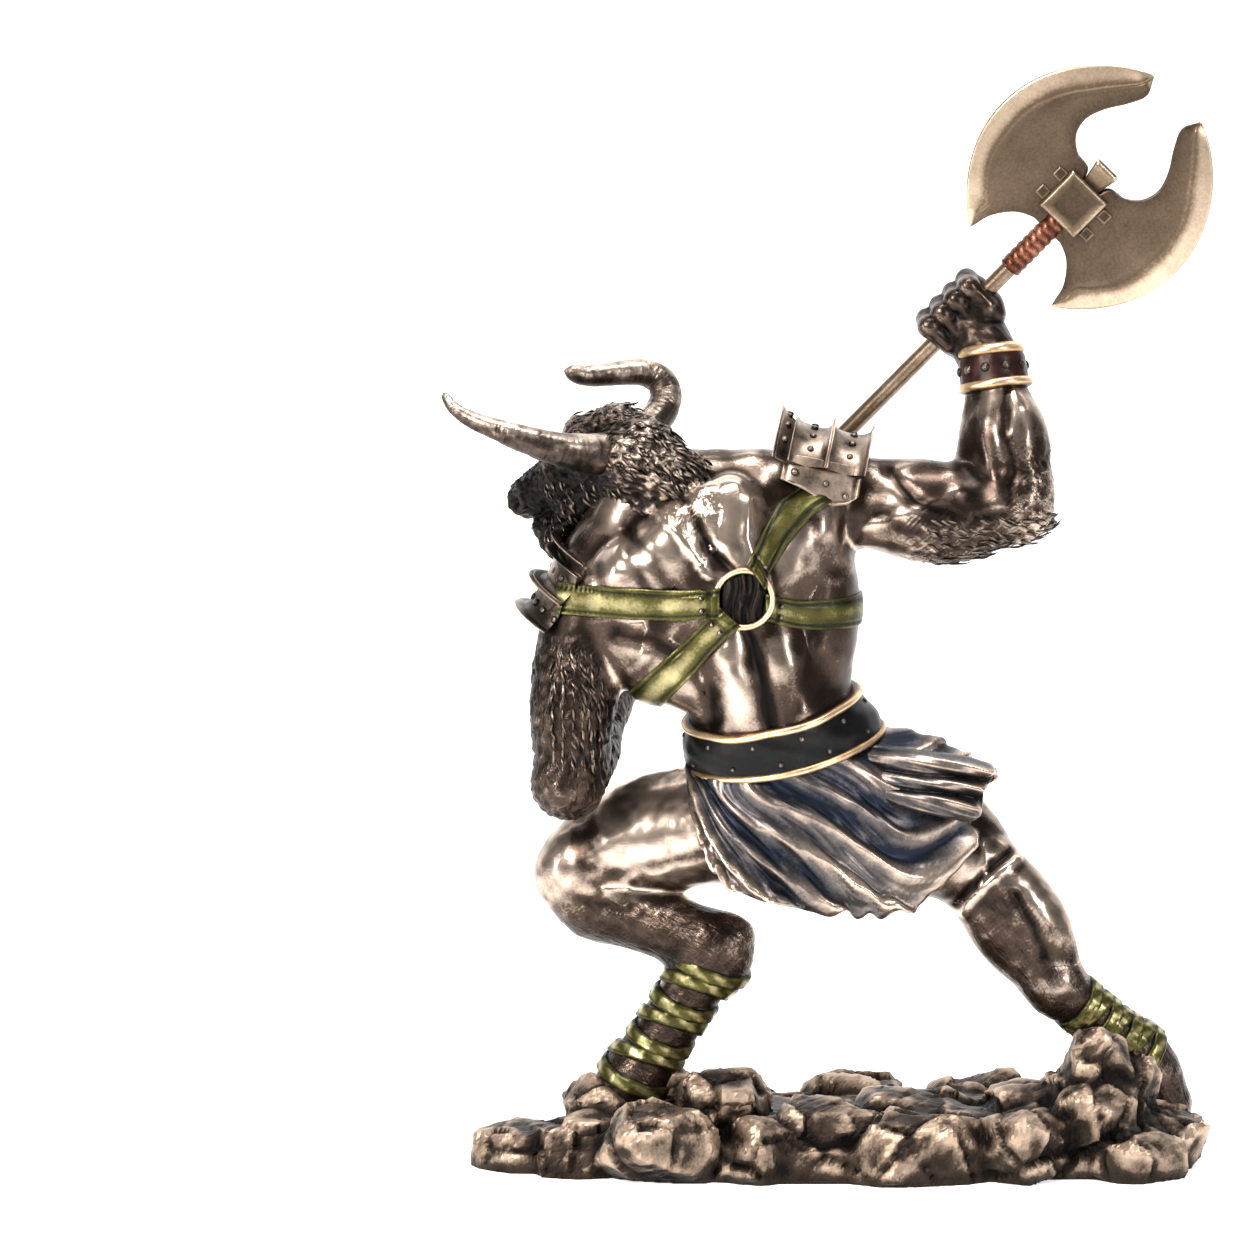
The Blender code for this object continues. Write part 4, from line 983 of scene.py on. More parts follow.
def gilded_roll(name, forms, centre, axis, half_width, steps, rise, crown, far=60.0):
    """A half-round gilded cord along the edge of a band."""
    cord = np.linspace(-1, 1, 11)
    arch = np.sqrt(np.clip(1 - cord ** 2, 0, 1))
    points, out, heading = laid_band(forms, centre, axis, cord * half_width, steps, far=far, ease=6)
    stand = rise + crown * arch + 0 * heading[:, None]
    hand_over_loft(name, thick_band(points, out, stand), gold_trim, FIGURE, ring=True,
                   worn=face_and_back(0.2 + 0.65 * arch + 0 * stand))


trial, _, _ = laid_band([limb((0, 0, -9), 5, (0, 0, 9), 5)], (0, 0, 0), (0, 0, 1), [0.0], 8)
print("a band round a limb 5 mm thick lies at", round(float(np.linalg.norm(trial[0, 0])), 2), "mm")

# %% [markdown]
# ## The rock
# Broken boulders, each the hull of corners thrown on a squared-off ball, all cut flat underneath. Once
# they are wrapped in one skin, scattered cells tilt small planes into it, as a chisel chips stone, and
# dark cracks follow the cells' borders.

# %% Boulders
BOULDERS = [
    ((-60, -4, 4), (32, 30, 11), 0.2), ((-10, -4, 4), (46, 38, 12), 0.0),
    ((50, -2, 5), (44, 38, 14), -0.1), ((80, 2, 6), (22, 30, 15), 0.4),
    ((-87, -12, 3), (17, 15, 9), 0.5), ((-49, -32, 7), (18, 15, 15), 0.3),
    ((-64, -3, 13), (9, 11, 12), -0.4), ((-31, -13, 15), (14, 15, 13), 0.1),
    ((-20, -30, 5), (14, 13, 13), 0.9), ((-3, -21, 9), (17, 15, 12), 0.2),
    ((26, -31, 6), (25, 15, 15), 0.1), ((22, -10, 11), (20, 16, 11), -0.3),
    ((50, -30, 9), (16, 15, 13), 0.6), ((52, -12, 15), (11, 12, 10), 0.2),
    ((70, -22, 14), (15, 15, 15), -0.5), ((71, -15, 26), (11.5, 11, 14.5), 0.3),
    ((80, -11, 20), (9, 11, 12), 0.7), ((91, -8, 5), (12, 16, 12), 0.1),
    ((82, -28, 4), (14, 12, 11), 0.8), ((-60, 14, 9), (17, 16, 13), 0.4),
    ((-45, 2, 17), (8, 9, 10), 0.3), ((-28, 26, 6), (20, 14, 13), 0.1),
    ((8, 26, 7), (20, 16, 13), -0.6), ((44, 26, 7), (20, 15, 14), 0.5),
    ((74, 24, 8), (18, 16, 16), 0.2), ((92, 8, 6), (11, 13, 9), 0.3),
]
BOULDER_CORNERS = 26


def boulder(centre, half, turn, seed):
    """A broken rock: the hull of corners thrown at random on a squared-off ball, cut at the floor."""
    rng = random.Random(seed)
    bm = bmesh.new()
    for _ in range(BOULDER_CORNERS):
        way = Vector((rng.gauss(0, 1), rng.gauss(0, 1), rng.gauss(0, 1))).normalized()
        squared = [math.copysign(abs(c) ** 0.72, c) for c in way]
        spot = Vector([squared[k] * half[k] for k in range(3)]) * rng.uniform(0.88, 1.04)
        spot.rotate(Matrix.Rotation(turn, 3, "Z"))
        bm.verts.new((Vector(centre) + spot) * MM)
    bmesh.ops.convex_hull(bm, input=bm.verts)
    bmesh.ops.delete(bm, geom=[v for v in bm.verts if not v.link_faces], context="VERTS")
    bmesh.ops.bisect_plane(bm, geom=bm.verts[:] + bm.edges[:] + bm.faces[:], dist=1e-7,
                           plane_co=(0, 0, 0), plane_no=(0, 0, -1), clear_outer=True)
    bmesh.ops.holes_fill(bm, edges=[e for e in bm.edges if e.is_boundary], sides=0)
    bmesh.ops.recalc_face_normals(bm, faces=bm.faces)
    mesh = bpy.data.meshes.new("boulder")
    bm.to_mesh(mesh)
    bm.free()
    return mesh


print("boulders:", len(BOULDERS))

# %% [markdown]
# ## Chipped stone
# Broken rock has flat faces at many angles with sharp borders. Large cells tilt broad faces, small ones
# chip them, and the borders sink into cracks. The lowest points stay flat, for the statue stands on them.

# %% Rock
rock = wrap([boulder(*stone, seed) for seed, stone in enumerate(BOULDERS)], VOXEL["rock"])
p = rock.points
offset, _, gap, label = cells(p / 16.0, 3)
tilt = unit(np.stack([label - 0.5, (label * 7.3) % 1 - 0.5, (label * 3.7) % 1 - 0.2], axis=1))
chips = 2.3 * (offset * tilt).sum(axis=1)
chips -= 0.7 * ridge(gap, 0.045)
offset, _, small_gap, label = cells(p / 4.6 + 5, 8)
tilt = unit(np.stack([label - 0.5, (label * 5.3) % 1 - 0.5, (label * 9.7) % 1 - 0.5], axis=1))
chips += 0.45 * (offset * tilt).sum(axis=1)
chips += 0.22 * rough_noise(p / 2.6, 2, 20)
over_floor = reach(p[:, 2], 0.6, 2.5)
rock.raise_by(np.clip(chips, -1.6, 1.5) * over_floor)
rock.points[p[:, 2] < 0.6, 2] = 0.0
rock.points[:, 2] = np.maximum(rock.points[:, 2], 0)
# The rock is made darker towards the floor, within 5 mm of it.
worn = rock.raisedness(2, 14) * (0.45 + 0.55 * reach(rock.points[:, 2], 0.5, 5))
hand_over("rock_base", rock.points, rock.quads, rock_bronze, FIGURE, worn=worn, smooth=False)

# %% [markdown]
# ## Head and horns
# A bull's head, turned away to the left: skull, muzzle, jaw, nostril rims, brows and ears, with the mouth
# and the hollow of each eye cut in. It could be shaped by hand, but named forms keep it in step with the
# solid model. Fur over the brow and the muzzle is the same carved noise as on the arms, only shorter.

# %% Head
NECK, SKULL, NOSE = vec(-47, 1, 188), vec(-64, 8, 194), vec(-84.3, 20, 183)
MANE = [(-70, 8, 201, 5), (-60, 5, 201, 8), (-54, -2, 195, 11), (-47, -8, 191, 7.5), (-40, -12, 187, 4.5)]
MANE_EDGE = ([-80, -63.5, -57, -52, -47.5, -41, -34], [190, 190, 188, 188, 184, 182, 179])
head_forms = [
    limb(NECK + (2, 0, -4), 14, SKULL, 11.5), limb(SKULL, 11.5, SKULL + (-8, 5, -4), 9.5),
    limb(SKULL + (-7, 4, -3), 8.5, NOSE, 5.8),
    muscle((-60, 3, 190), (-77, 11, 180), 8, 6.5, (-0.6, -0.8, 0)),
    limb((-66, 11, 178), 7, (-79, 17, 175), 4.4), limb((-72, 13, 176), 5.6, (-76.5, 15, 171.5), 5),
    limb(NOSE + (-1.5, -3.2, -0.5), 3.4, NOSE + (3, -4, -0.5), 3),
    limb(NOSE + (2.5, 3.8, -0.5), 3.4, NOSE + (4, 1, -0.5), 3),
    limb((-71, 3, 196), 3.4, (-66, -3, 196), 3.6), limb((-69, 17, 196), 3.4, (-61, 18, 198), 3.6),
    limb((-57, -2, 189), 3.6, (-51, -10, 187), 1.8), limb((-57, 18, 190), 3.6, (-47, 24, 188), 1.8),
]
FACE_BLEND = 2.2
head = sculpt(head_forms + chain(MANE), VOXEL["head"], FACE_BLEND)
p = head.points
to_nostril = np.linalg.norm(p - vec(-88.3, 15.0, 181.9), axis=1)
relief = -2.2 * ridge(to_nostril, 1.5) + 0.75 * ridge(to_nostril - 2.7, 0.75)
FACE_LINES = [
    (-1.9, 1.1, (-88, 15, 176.2), (-82, 11, 175.9), (-75, 7.5, 178)),
    (0.6, 0.8, (-87, 13.5, 178.6), (-81, 9, 178.6), (-75, 6, 180.4)),
    (-1.1, 1.6, (-74.5, 3.6, 190.6), (-72, 1.6, 190.8)),
    (0.8, 1.0, (-76, 3.5, 193), (-72, 0.6, 193.6), (-68.5, -0.6, 192)),
]
for height, width, *path in FACE_LINES:
    relief += height * ridge(path_distance(p, path), width)
for step in range(5):
    fold = vec(-82 + 1.8 * step, 12.5 - 1.1 * step, 187.5 + 0.5 * step)
    relief += 0.28 * ridge(path_distance(p, [fold, fold + (0.6, -2.0, -4.5)]), 0.5)
muzzle = reach(distance_to(p, limb(NOSE, 7, NOSE + (6, -4, 1), 8)), 0, 4)
face = np.maximum(muzzle, reach(-p[:, 0], 60, 66))
relief += face * fur(p, (0.75, -0.4, -0.35), 3.6, 1.1, 0.6, 71)
relief += face * 0.35 * noise(p / 1.9, 72)
head.raise_by(relief)
# Painted shade darkens the front of the face, below the brow.
face_shade = 1 - 0.6 * reach(-p[:, 0], 58, 68) * reach(192 - p[:, 2], -4, 4)
hand_over("head", head.points, head.quads, fur_bronze, FIGURE, worn=head.raisedness() * face_shade,
          flow=flow_coordinates(head.points, (0.75, -0.4, -0.35)))

# %% [markdown]
# ## Horns
# Real horn grows in fine uneven rings, and the casting keeps them, rubbed on their crests. Painted light
# makes the top of each horn bright and painted shade makes its underside dark. A horn is a tube along a bent
# line whose radius shrinks to a tip. It could be a tapered curve with a texture, but loops let the rings be
# real dents in the surface.

# %% Horns
NEAR_HORN = [(-60, -1, 196, 6.2), (-68, -8, 196.2, 5.4), (-75.5, -12, 197.6, 4.7), (-82.5, -14, 199.6, 4.0),
             (-89, -15, 201.9, 3.4), (-95, -15, 204, 2.8), (-100.5, -14, 206.3, 2.25),
             (-104.5, -12.5, 209.1, 1.7), (-106.6, -11.2, 212, 1.2), (-107.2, -11, 212.9, 0.3)]
FAR_HORN = [(-59, 14, 197, 5.2), (-52, 20, 202, 4.7), (-47.8, 25, 206.5, 4.6), (-46.2, 28, 211, 4.5),
            (-47.6, 29, 215, 4.2), (-51.5, 29, 217.3, 3.9), (-57, 28, 217.6, 3.6), (-63, 26, 217, 3.3),
            (-69, 24, 216.8, 2.9), (-72.8, 22.4, 217.8, 2.2), (-74.6, 21.8, 218.3, 0.5)]


def horn_ribs(share, angle, radius):
    """Fine uneven rings of growth and gnarled bumps, fading towards the smooth tip."""
    share, angle = np.broadcast_arrays(share, angle)
    q = np.stack([share * 120, 1.6 * np.cos(angle), 1.6 * np.sin(angle)], axis=-1).reshape(-1, 3)
    rings = noise(q, 4).reshape(share.shape)
    bumps = noise(q / (6.0, 0.8, 0.8), 6).reshape(share.shape)
    return (0.13 * rings + 0.26 * bumps) * (1 - 0.7 * share) * np.clip(radius / 4, 0.1, 1)


HORN_RINGS, HORN_SIDES = 160, 44
for horn_name, stations in (("near_horn", NEAR_HORN), ("far_horn", FAR_HORN)):
    loops, share, angle = tube(stations, HORN_RINGS, HORN_SIDES, horn_ribs)
    normal = unit(loops - loops.mean(axis=1, keepdims=True))
    ribs = horn_ribs(share, angle, 4.0)
    # Painted light on the top and on the side that faces the lamps, painted shade below; the rings' crests
    # are rubbed, and the horn lightens towards its tip.
    worn = np.clip(0.42 + 0.3 * normal[..., 2] - 0.10 * normal[..., 1] + ribs * 1.3 + 0.12 * share, 0, 1)
    hand_over_loft(horn_name, loops, horn_bronze, FIGURE, worn=worn,
                   flow=np.stack([angle * 3 + share * 0, share * 60 + angle * 0, share * 0 + angle * 0],
                                 axis=-1))

# %% [markdown]
# ## Repeated small pieces
# Locks of hair and rivets are one shape many times over. Geometry Nodes stands a stamp on every point,
# turns and sizes it by what the point says, and varies it with a fixed seed.


# %% Stamps on points
def build_repeat_tree():
    tree = bpy.data.node_groups.new("repeat", "GeometryNodeTree")
    face = tree.interface
    face.new_socket("Geometry", in_out="INPUT", socket_type="NodeSocketGeometry")
    face.new_socket("Stamp", in_out="INPUT", socket_type="NodeSocketObject")
    face.new_socket("Size variation", in_out="INPUT", socket_type="NodeSocketFloat")
    face.new_socket("Seed", in_out="INPUT", socket_type="NodeSocketInt")
    face.new_socket("Finish", in_out="INPUT", socket_type="NodeSocketMaterial")
    face.new_socket("Geometry", in_out="OUTPUT", socket_type="NodeSocketGeometry")
    nodes, links = tree.nodes, tree.links
    given, result = nodes.new("NodeGroupInput"), nodes.new("NodeGroupOutput")
    stamp = nodes.new("GeometryNodeObjectInfo")
    links.new(given.outputs["Stamp"], stamp.inputs["Object"])
    read = {}
    for label in ("turn", "size"):
        read[label] = nodes.new("GeometryNodeInputNamedAttribute")
        read[label].data_type = "FLOAT_VECTOR"
        read[label].inputs["Name"].default_value = label
    to_turn = nodes.new("FunctionNodeEulerToRotation")
    links.new(read["turn"].outputs["Attribute"], to_turn.inputs[0])
    spread = nodes.new("FunctionNodeRandomValue")
    low, high = nodes.new("ShaderNodeMath"), nodes.new("ShaderNodeMath")
    low.operation, high.operation = "SUBTRACT", "ADD"
    for bound, socket in ((low, "Min"), (high, "Max")):
        bound.inputs[0].default_value = 1.0
        links.new(given.outputs["Size variation"], bound.inputs[1])
        links.new(bound.outputs[0], [s for s in spread.inputs if s.name == socket and s.type == "VALUE"][0])
    links.new(given.outputs["Seed"], spread.inputs["Seed"])
    sized = nodes.new("ShaderNodeVectorMath")
    sized.operation = "SCALE"
    links.new(read["size"].outputs["Attribute"], sized.inputs[0])
    links.new([s for s in spread.outputs if s.type == "VALUE"][0], sized.inputs["Scale"])
    copies = nodes.new("GeometryNodeInstanceOnPoints")
    links.new(given.outputs["Geometry"], copies.inputs["Points"])
    links.new(stamp.outputs["Geometry"], copies.inputs["Instance"])
    links.new(to_turn.outputs[0], copies.inputs["Rotation"])
    links.new(sized.outputs["Vector"], copies.inputs["Scale"])
    real, paint = nodes.new("GeometryNodeRealizeInstances"), nodes.new("GeometryNodeSetMaterial")
    links.new(copies.outputs["Instances"], real.inputs["Geometry"])
    links.new(real.outputs["Geometry"], paint.inputs["Geometry"])
    links.new(given.outputs["Finish"], paint.inputs["Material"])
    links.new(paint.outputs["Geometry"], result.inputs["Geometry"])
    return tree


REPEAT = build_repeat_tree()


def repeat(name, stamp, places, turns, sizes, material, node, variation=0.15, seed=1):
    """Copies of a stamp as one finished mesh."""
    mesh = bpy.data.meshes.new(name)
    mesh.from_pydata(np.asarray(places) * MM, [], [])
    for label, values in (("turn", turns), ("size", sizes)):
        layer = mesh.attributes.new(label, "FLOAT_VECTOR", "POINT")
        layer.data.foreach_set("vector", np.asarray(values, dtype=float).ravel())
    carrier = bpy.data.objects.new(name, mesh)
    bpy.context.scene.collection.objects.link(carrier)
    nodes = carrier.modifiers.new("repeat", "NODES")
    nodes.node_group = REPEAT
    given = {"Stamp": stamp, "Size variation": variation, "Seed": seed, "Finish": material}
    for item in REPEAT.interface.items_tree:
        if item.in_out == "INPUT" and item.name in given:
            nodes[item.identifier] = given[item.name]
    bpy.context.view_layer.update()
    plain = bpy.data.meshes.new_from_object(carrier.evaluated_get(bpy.context.evaluated_depsgraph_get()))
    carrier.modifiers.clear()
    carrier.data = plain
    for label in ("turn", "size"):
        if label in plain.attributes:
            plain.attributes.remove(plain.attributes[label])
    register(carrier, node)
    return carrier

# %% [markdown]
# ## Stamps
# A rivet's dome and a lock of hair, each with only a few dozen faces because it is repeated hundreds of
# times.


# %% The dome and the lock
def stamp_from(name, loops, worn, ring=False):
    """A stamp about one millimetre big at the origin, kept out of the scene."""
    points, faces = loft(loops, ring)
    if volume(points, faces) < 0:
        faces = [f[::-1] for f in faces]
    mesh = bpy.data.meshes.new(name)
    mesh.from_pydata(points * MM, [], faces)
    rows = np.broadcast_to(worn, loops.shape[:2]).ravel()
    layer = mesh.attributes.new("worn", "FLOAT", "POINT")
    layer.data.foreach_set("value", np.concatenate([rows, [rows[0], rows[-1]]]))
    mesh.polygons.foreach_set("use_smooth", [True] * len(mesh.polygons))
    return bpy.data.objects.new(name, mesh)


def aim(along, out):
    """Euler angles that turn +Z to along and +Y to out."""
    along, out = unit(vec(*along)), vec(*out)
    out = unit(out - along * (out @ along))
    side = np.cross(out, along)
    return Matrix([side, out, along]).transposed().to_euler()


def dome_stamp():
    ring = np.linspace(0, math.pi / 2 * 0.97, 6)[::-1]
    angle = np.linspace(0, 2 * math.pi, 14, endpoint=False)
    height = np.concatenate([[-0.5], np.cos(ring[::-1])[::-1] * 0.62])
    radius = np.concatenate([[1.0], np.sin(ring)])
    loops = np.stack([radius[:, None] * np.cos(angle), radius[:, None] * np.sin(angle),
                      height[:, None] * np.ones(14)], axis=-1)
    return stamp_from("rivet_stamp", loops, np.linspace(0.2, 1.0, 7)[:, None])


def lock_stamp():
    """A pointed lock one unit long: a bent, grooved half round that lies on its flat side."""
    rings, sides = 8, 6
    t = np.linspace(0, 1, rings)[:, None]
    angle = np.linspace(0, 2 * math.pi, sides, endpoint=False)[None]
    girth = np.clip(np.sin(math.pi * np.clip(t * 0.86 + 0.16, 0, 1)) ** 0.8, 0.02, 1)
    groove = 1 + 0.16 * np.cos(3 * angle)
    x = 0.5 * girth * groove * np.cos(angle) + 0.5 * np.sin(2.4 * math.pi * t) * t
    y = 0.42 * girth * groove * np.sin(angle) + 0.7 * np.sin(math.pi * t)
    loops = np.stack([x, y, t + 0 * angle], axis=-1)
    middle = np.sin(math.pi * np.clip(t * 0.9 + 0.1, 0, 1))
    worn = np.clip((0.3 + 0.45 * np.sin(angle)) * (0.35 + 0.65 * middle), 0, 1)
    return stamp_from("lock_stamp", loops, worn)


RIVET, LOCK = dome_stamp(), lock_stamp()
print("faces of the dome and the lock:", len(RIVET.data.polygons), len(LOCK.data.polygons))

# %% [markdown]
# ## Mane, crown and tufts
# The mane is heavy locks combed back from the brow and down the neck. A particle system could grow them,
# but a casting has thick, solid tufts, so each one is a bent, pointed stamp. They sit in rows along the
# neck's line, and elsewhere one stands in each small cell of the skin.

# %% Mane
rng = random.Random(4)
places, turns, sizes = [], [], []
line = smooth_path(MANE, 60)
MANE_ROWS, LOCKS_IN_ROW = 32, 19
for row in range(MANE_ROWS):
    share = row / (MANE_ROWS + 1)
    here = min(59, int(share * 59))
    spot, girth = line[here, :3], line[here, 3]
    ahead = unit(line[min(59, here + 6), :3] - line[max(0, here - 2), :3])
    side = unit(np.cross(ahead, vec(0.5, -0.8, 0.3)))
    out = np.cross(side, ahead)
    for k in range(LOCKS_IN_ROW):
        angle = math.radians(-130 + 260 * k / (LOCKS_IN_ROW - 1) + rng.uniform(-9, 9))
        radial = out * math.cos(angle) + side * math.sin(angle)
        root = spot + radial * girth * rng.uniform(0.86, 1.0) + ahead * rng.uniform(-1.5, 1.5)
        bend = 0.28 * math.sin(root[0] / 3.1 + root[2] / 4.3)
        flow = unit(ahead + vec(0.42 + bend, -0.08, -0.5)
                    + vec(*(rng.uniform(-0.12, 0.12) for _ in range(3))))
        if root[1] < 4 and root[2] < np.interp(root[0], *MANE_EDGE) + 3:
            continue
        places.append(root)
        turns.append(aim(flow, radial))
        sizes.append((rng.uniform(0.8, 1.3) * rng.choice((-1, 1)), 0.8,
                      rng.uniform(8.0, 11.5) * (1 - 0.45 * share)))
repeat("mane", LOCK, places, turns, sizes, fur_bronze, FIGURE, 0.2, 7)


print("locks in the mane:", len(places))

# %% [markdown]
# ## Tufts on crown, cheeks and arms
# One tuft stands in each small cube of skin where a mask allows it, combed along the hair's way. Hair
# curves would be finer than a casting can hold.


# %% Tufts
def coat_of_locks(name, skin, mask, axis, spacing, width, length, lift, seed):
    """Tufts that stand on a skin where the mask says so, one in each cell, combed along the axis."""
    chosen = np.flatnonzero(mask > 0.55)
    keys = np.floor(skin.points[chosen] / spacing).astype(np.int64)
    _, first = np.unique(keys, axis=0, return_index=True)
    chosen = chosen[first]
    spots, outs = skin.points[chosen], skin.normals()[chosen]
    wander = np.stack([noise(spots / 6, seed + k) for k in range(3)], axis=1)
    comb = vec(*axis) + 0.3 * wander
    comb = unit(comb - outs * (comb * outs).sum(axis=1, keepdims=True))
    rng = random.Random(seed)
    sizes = [(rng.uniform(0.8, 1.2) * width * rng.choice((-1, 1)), 0.55, rng.uniform(0.75, 1.25) * length)
             for _ in spots]
    turns = [aim(c + o * lift, o) for c, o in zip(comb, outs)]
    repeat(name, LOCK, spots - outs * 0.35, turns, sizes, fur_bronze, FIGURE, 0.15, seed)


crown = reach(head.points[:, 0], -76, -70) * reach(head.points[:, 2] - 190, 0, 5)
cheek = (reach(-head.points[:, 0], 58, 62) * reach(82 + head.points[:, 0], 0, 3)
         * reach(191 - head.points[:, 2], 0, 4))
coat_of_locks("crown_locks", head, crown, (0.75, -0.25, -0.3), 2.8, 1.0, 3.8, 0.02, 93)
coat_of_locks("cheek_locks", head, cheek, (0.55, -0.1, -0.85), 2.7, 0.9, 3.8, 0.04, 94)
q = upper.points
left_band = fur_left * reach(q[:, 0] + 80, 0, 4) * reach(-62 - q[:, 0], 0, 4) * reach(q[:, 2] - 110, 0, 5)
right_band = fur_right * reach(181 - q[:, 2], 0, 4) * reach(q[:, 0] - 22, 0, 4)
coat_of_locks("left_arm_tufts", upper, left_band, (0.2, 0.0, -1), 2.7, 1.0, 5.2, 0.03, 90)
coat_of_locks("right_arm_tufts", upper, right_band, (0.95, -0.1, -0.3), 2.7, 0.9, 5.6, 0.02, 91)

# %% [markdown]
# ## Kilt
# Blown cloth: a loft from the belt down to a hem that hangs at a different place for each heading. The
# folds are a wave that leans to the right on its way down. Its crests are rubbed bare and its troughs
# keep the blue.

# %% Kilt
HEM = [(0, (43, -5, 107)), (22, (38, 8, 98)), (55, (20, 20, 84)), (90, (-6, 24, 78)), (125, (-28, 20, 84)),
       (155, (-38, 10, 93)), (180, (-40.5, 0, 99)), (205, (-37, -12, 90)), (228, (-30, -19, 79)),
       (250, (-19, -22, 73.5)), (275, (0, -23, 71.5)), (300, (17, -20, 71)), (318, (27, -17, 76)),
       (332, (37, -14, 87)), (345, (39, -13, 97))]
KILT_MIDDLE, KILT_HALF, KILT_SLOPE, KILT_RISE = vec(-14.5, 0.5, 114.2), (25.6, 20.2), 0.20, 0.24
FOLD_COUNT, FOLD_SWEEP, FOLD_DEPTH = 13, 19.0, 1.6
KILT_RINGS, KILT_STEPS = 58, 400


def hem_points(heading):
    """The hem at headings in degrees, read smoothly between the points of HEM."""
    stops = np.array([h for h, _ in HEM] + [HEM[0][0] + 360.0])
    spots = np.array([s for _, s in HEM], dtype=float)
    count = len(HEM)
    i = np.searchsorted(stops, heading % 360, side="right") - 1
    f = ((heading % 360 - stops[i]) / (stops[i + 1] - stops[i]))[:, None]
    p0, p1, p2, p3 = (spots[(i + k) % count] for k in (-1, 0, 1, 2))
    return 0.5 * (2 * p1 + (p2 - p0) * f + (2 * p0 - 5 * p1 + 4 * p2 - p3) * f ** 2
                  + (3 * p1 - p0 - 3 * p2 + p3) * f ** 3)


heading = np.linspace(0, 2 * math.pi, KILT_STEPS, endpoint=False)
down = np.concatenate([np.linspace(0, 1, KILT_RINGS), np.full(3, 1.0), np.linspace(0.97, 0.5, 8)])[:, None]
inward = np.concatenate([np.zeros(KILT_RINGS), [0.35, 0.9, 1.3], np.linspace(1.6, 3.0, 8)])[:, None]
waist = KILT_MIDDLE + np.stack([KILT_HALF[0] * np.cos(heading), KILT_HALF[1] * np.sin(heading),
                                KILT_SLOPE * KILT_HALF[0] * np.cos(heading)
                                + KILT_RISE * KILT_HALF[1] * np.sin(heading)], axis=1)
hem = hem_points(np.degrees(heading))
cloth = waist + (hem - waist) * down[..., None]
cloth[..., 2] += 5.0 * np.sin(math.pi * down)
out = np.stack([np.cos(heading), np.sin(heading), np.full(KILT_STEPS, 0.25)], axis=1)
phase = 0.5 * (FOLD_COUNT * heading - FOLD_SWEEP * down ** 1.7) + 0.5 * np.sin(3 * heading + 4 * down + 0.6)
wave = 1.3 - 2.2 * np.sqrt(np.sin(phase) ** 2 + 0.02)
wave += 0.45 * np.sin(5 * heading - 0.4 * FOLD_SWEEP * down + 1)
wave += 0.3 * np.sin(29 * heading - 34 * down ** 1.6 + 3 * np.sin(4 * heading)) * (0.3 + down)
wave += 0.16 * np.sin(61 * heading - 60 * down ** 1.6 + 4 * np.sin(3 * heading + 6 * down))
hem_roll = 0.7 * ridge(down - 0.96, 0.04)
cloth += out * (FOLD_DEPTH * (wave * (0.22 + 0.78 * down) + hem_roll) - inward)[..., None]
cloth[..., 2] += 0.9 * np.sin(19 * heading + 4 * np.sin(5 * heading)) * down ** 6
worn = (np.clip(0.42 + 0.12 * down + 0.25 * wave + 0.25 * down ** 10, 0, 1)
        * (1 - 0.8 * reach(inward, 0.9, 1.4)))
hand_over_loft("kilt", cloth, kilt_blue, FIGURE, worn=worn)

# %% [markdown]
# ## The blown end of the kilt
# To the right the cloth is blown out in soft rolls. A cloth simulation would need many tries to fall the
# same way. Here a sheet hangs between a top line and a low line, and a wave down it swells towards the
# free end.

# %% Rolled tail of the kilt
TAIL_TOP = [(-2, -4, 115), (8, -8, 115.5), (17, -11, 115.6), (26, -11.5, 114.8), (36, -11, 113.4),
            (43, -10.5, 111.6)]
TAIL_LOW = [(0, -5, 104), (8, -9, 102), (16, -13, 100), (25, -14.5, 98), (32, -13.5, 96.4),
            (37.5, -12.5, 95.4)]
TAIL_RINGS, TAIL_FACE, TAIL_ROLLS = 70, 72, 3
share = np.linspace(0, 1, TAIL_RINGS)[:, None]
top, low = smooth_path(TAIL_TOP, TAIL_RINGS), smooth_path(TAIL_LOW, TAIL_RINGS)
fall = np.linspace(0, 1, TAIL_FACE)[None]
wavy = fall ** (1.15 - 0.25 * share) + 0.05 * np.sin(5 * share + 6 * fall) * np.sin(math.pi * fall)
rolls = np.abs(np.sin(TAIL_ROLLS * math.pi * wavy)) ** 0.6
swell = 0.6 + 4.4 * share ** 0.8
ripple = (0.35 * np.sin(22 * fall + 6 * share + 2 * np.sin(4 * share))
          + 0.22 * np.sin(41 * fall - 11 * share))
front = -(swell * rolls + ripple * (0.4 + share)) - 1.0
behind = 1.2 + swell * 0.5 * rolls
sheet = top[:, None] + (low - top)[:, None] * fall[..., None]
sheet[..., 0] += 2.6 * (rolls - 0.6) * share ** 6 + 0.5 * np.sin(9 * fall) * share ** 4
lips = 1 - 0.55 * np.clip((share - 0.955) / 0.045, 0, 1) ** 3
tail_face, tail_back = sheet.copy(), sheet[:, ::-1].copy()
tail_face[..., 1] += front * lips
tail_back[..., 1] += (behind * lips)[:, ::-1]
worn = np.clip(0.30 + 0.42 * rolls * (0.5 + 0.5 * share) + 0.3 * ripple, 0, 1)
hand_over_loft("kilt_tail", np.concatenate([tail_face, tail_back], axis=1), kilt_blue, FIGURE,
               worn=np.concatenate([worn, np.full_like(worn, 0.3)], axis=1))

# %% [markdown]
# ## The harness
# Leather laid on the body: green straps with a rubbed middle and a stitched line along each edge, which
# meet at a ring between the shoulder blades. A strap could be a bevelled curve, but rays from inside the
# body keep it flat on the skin wherever the muscles rise.

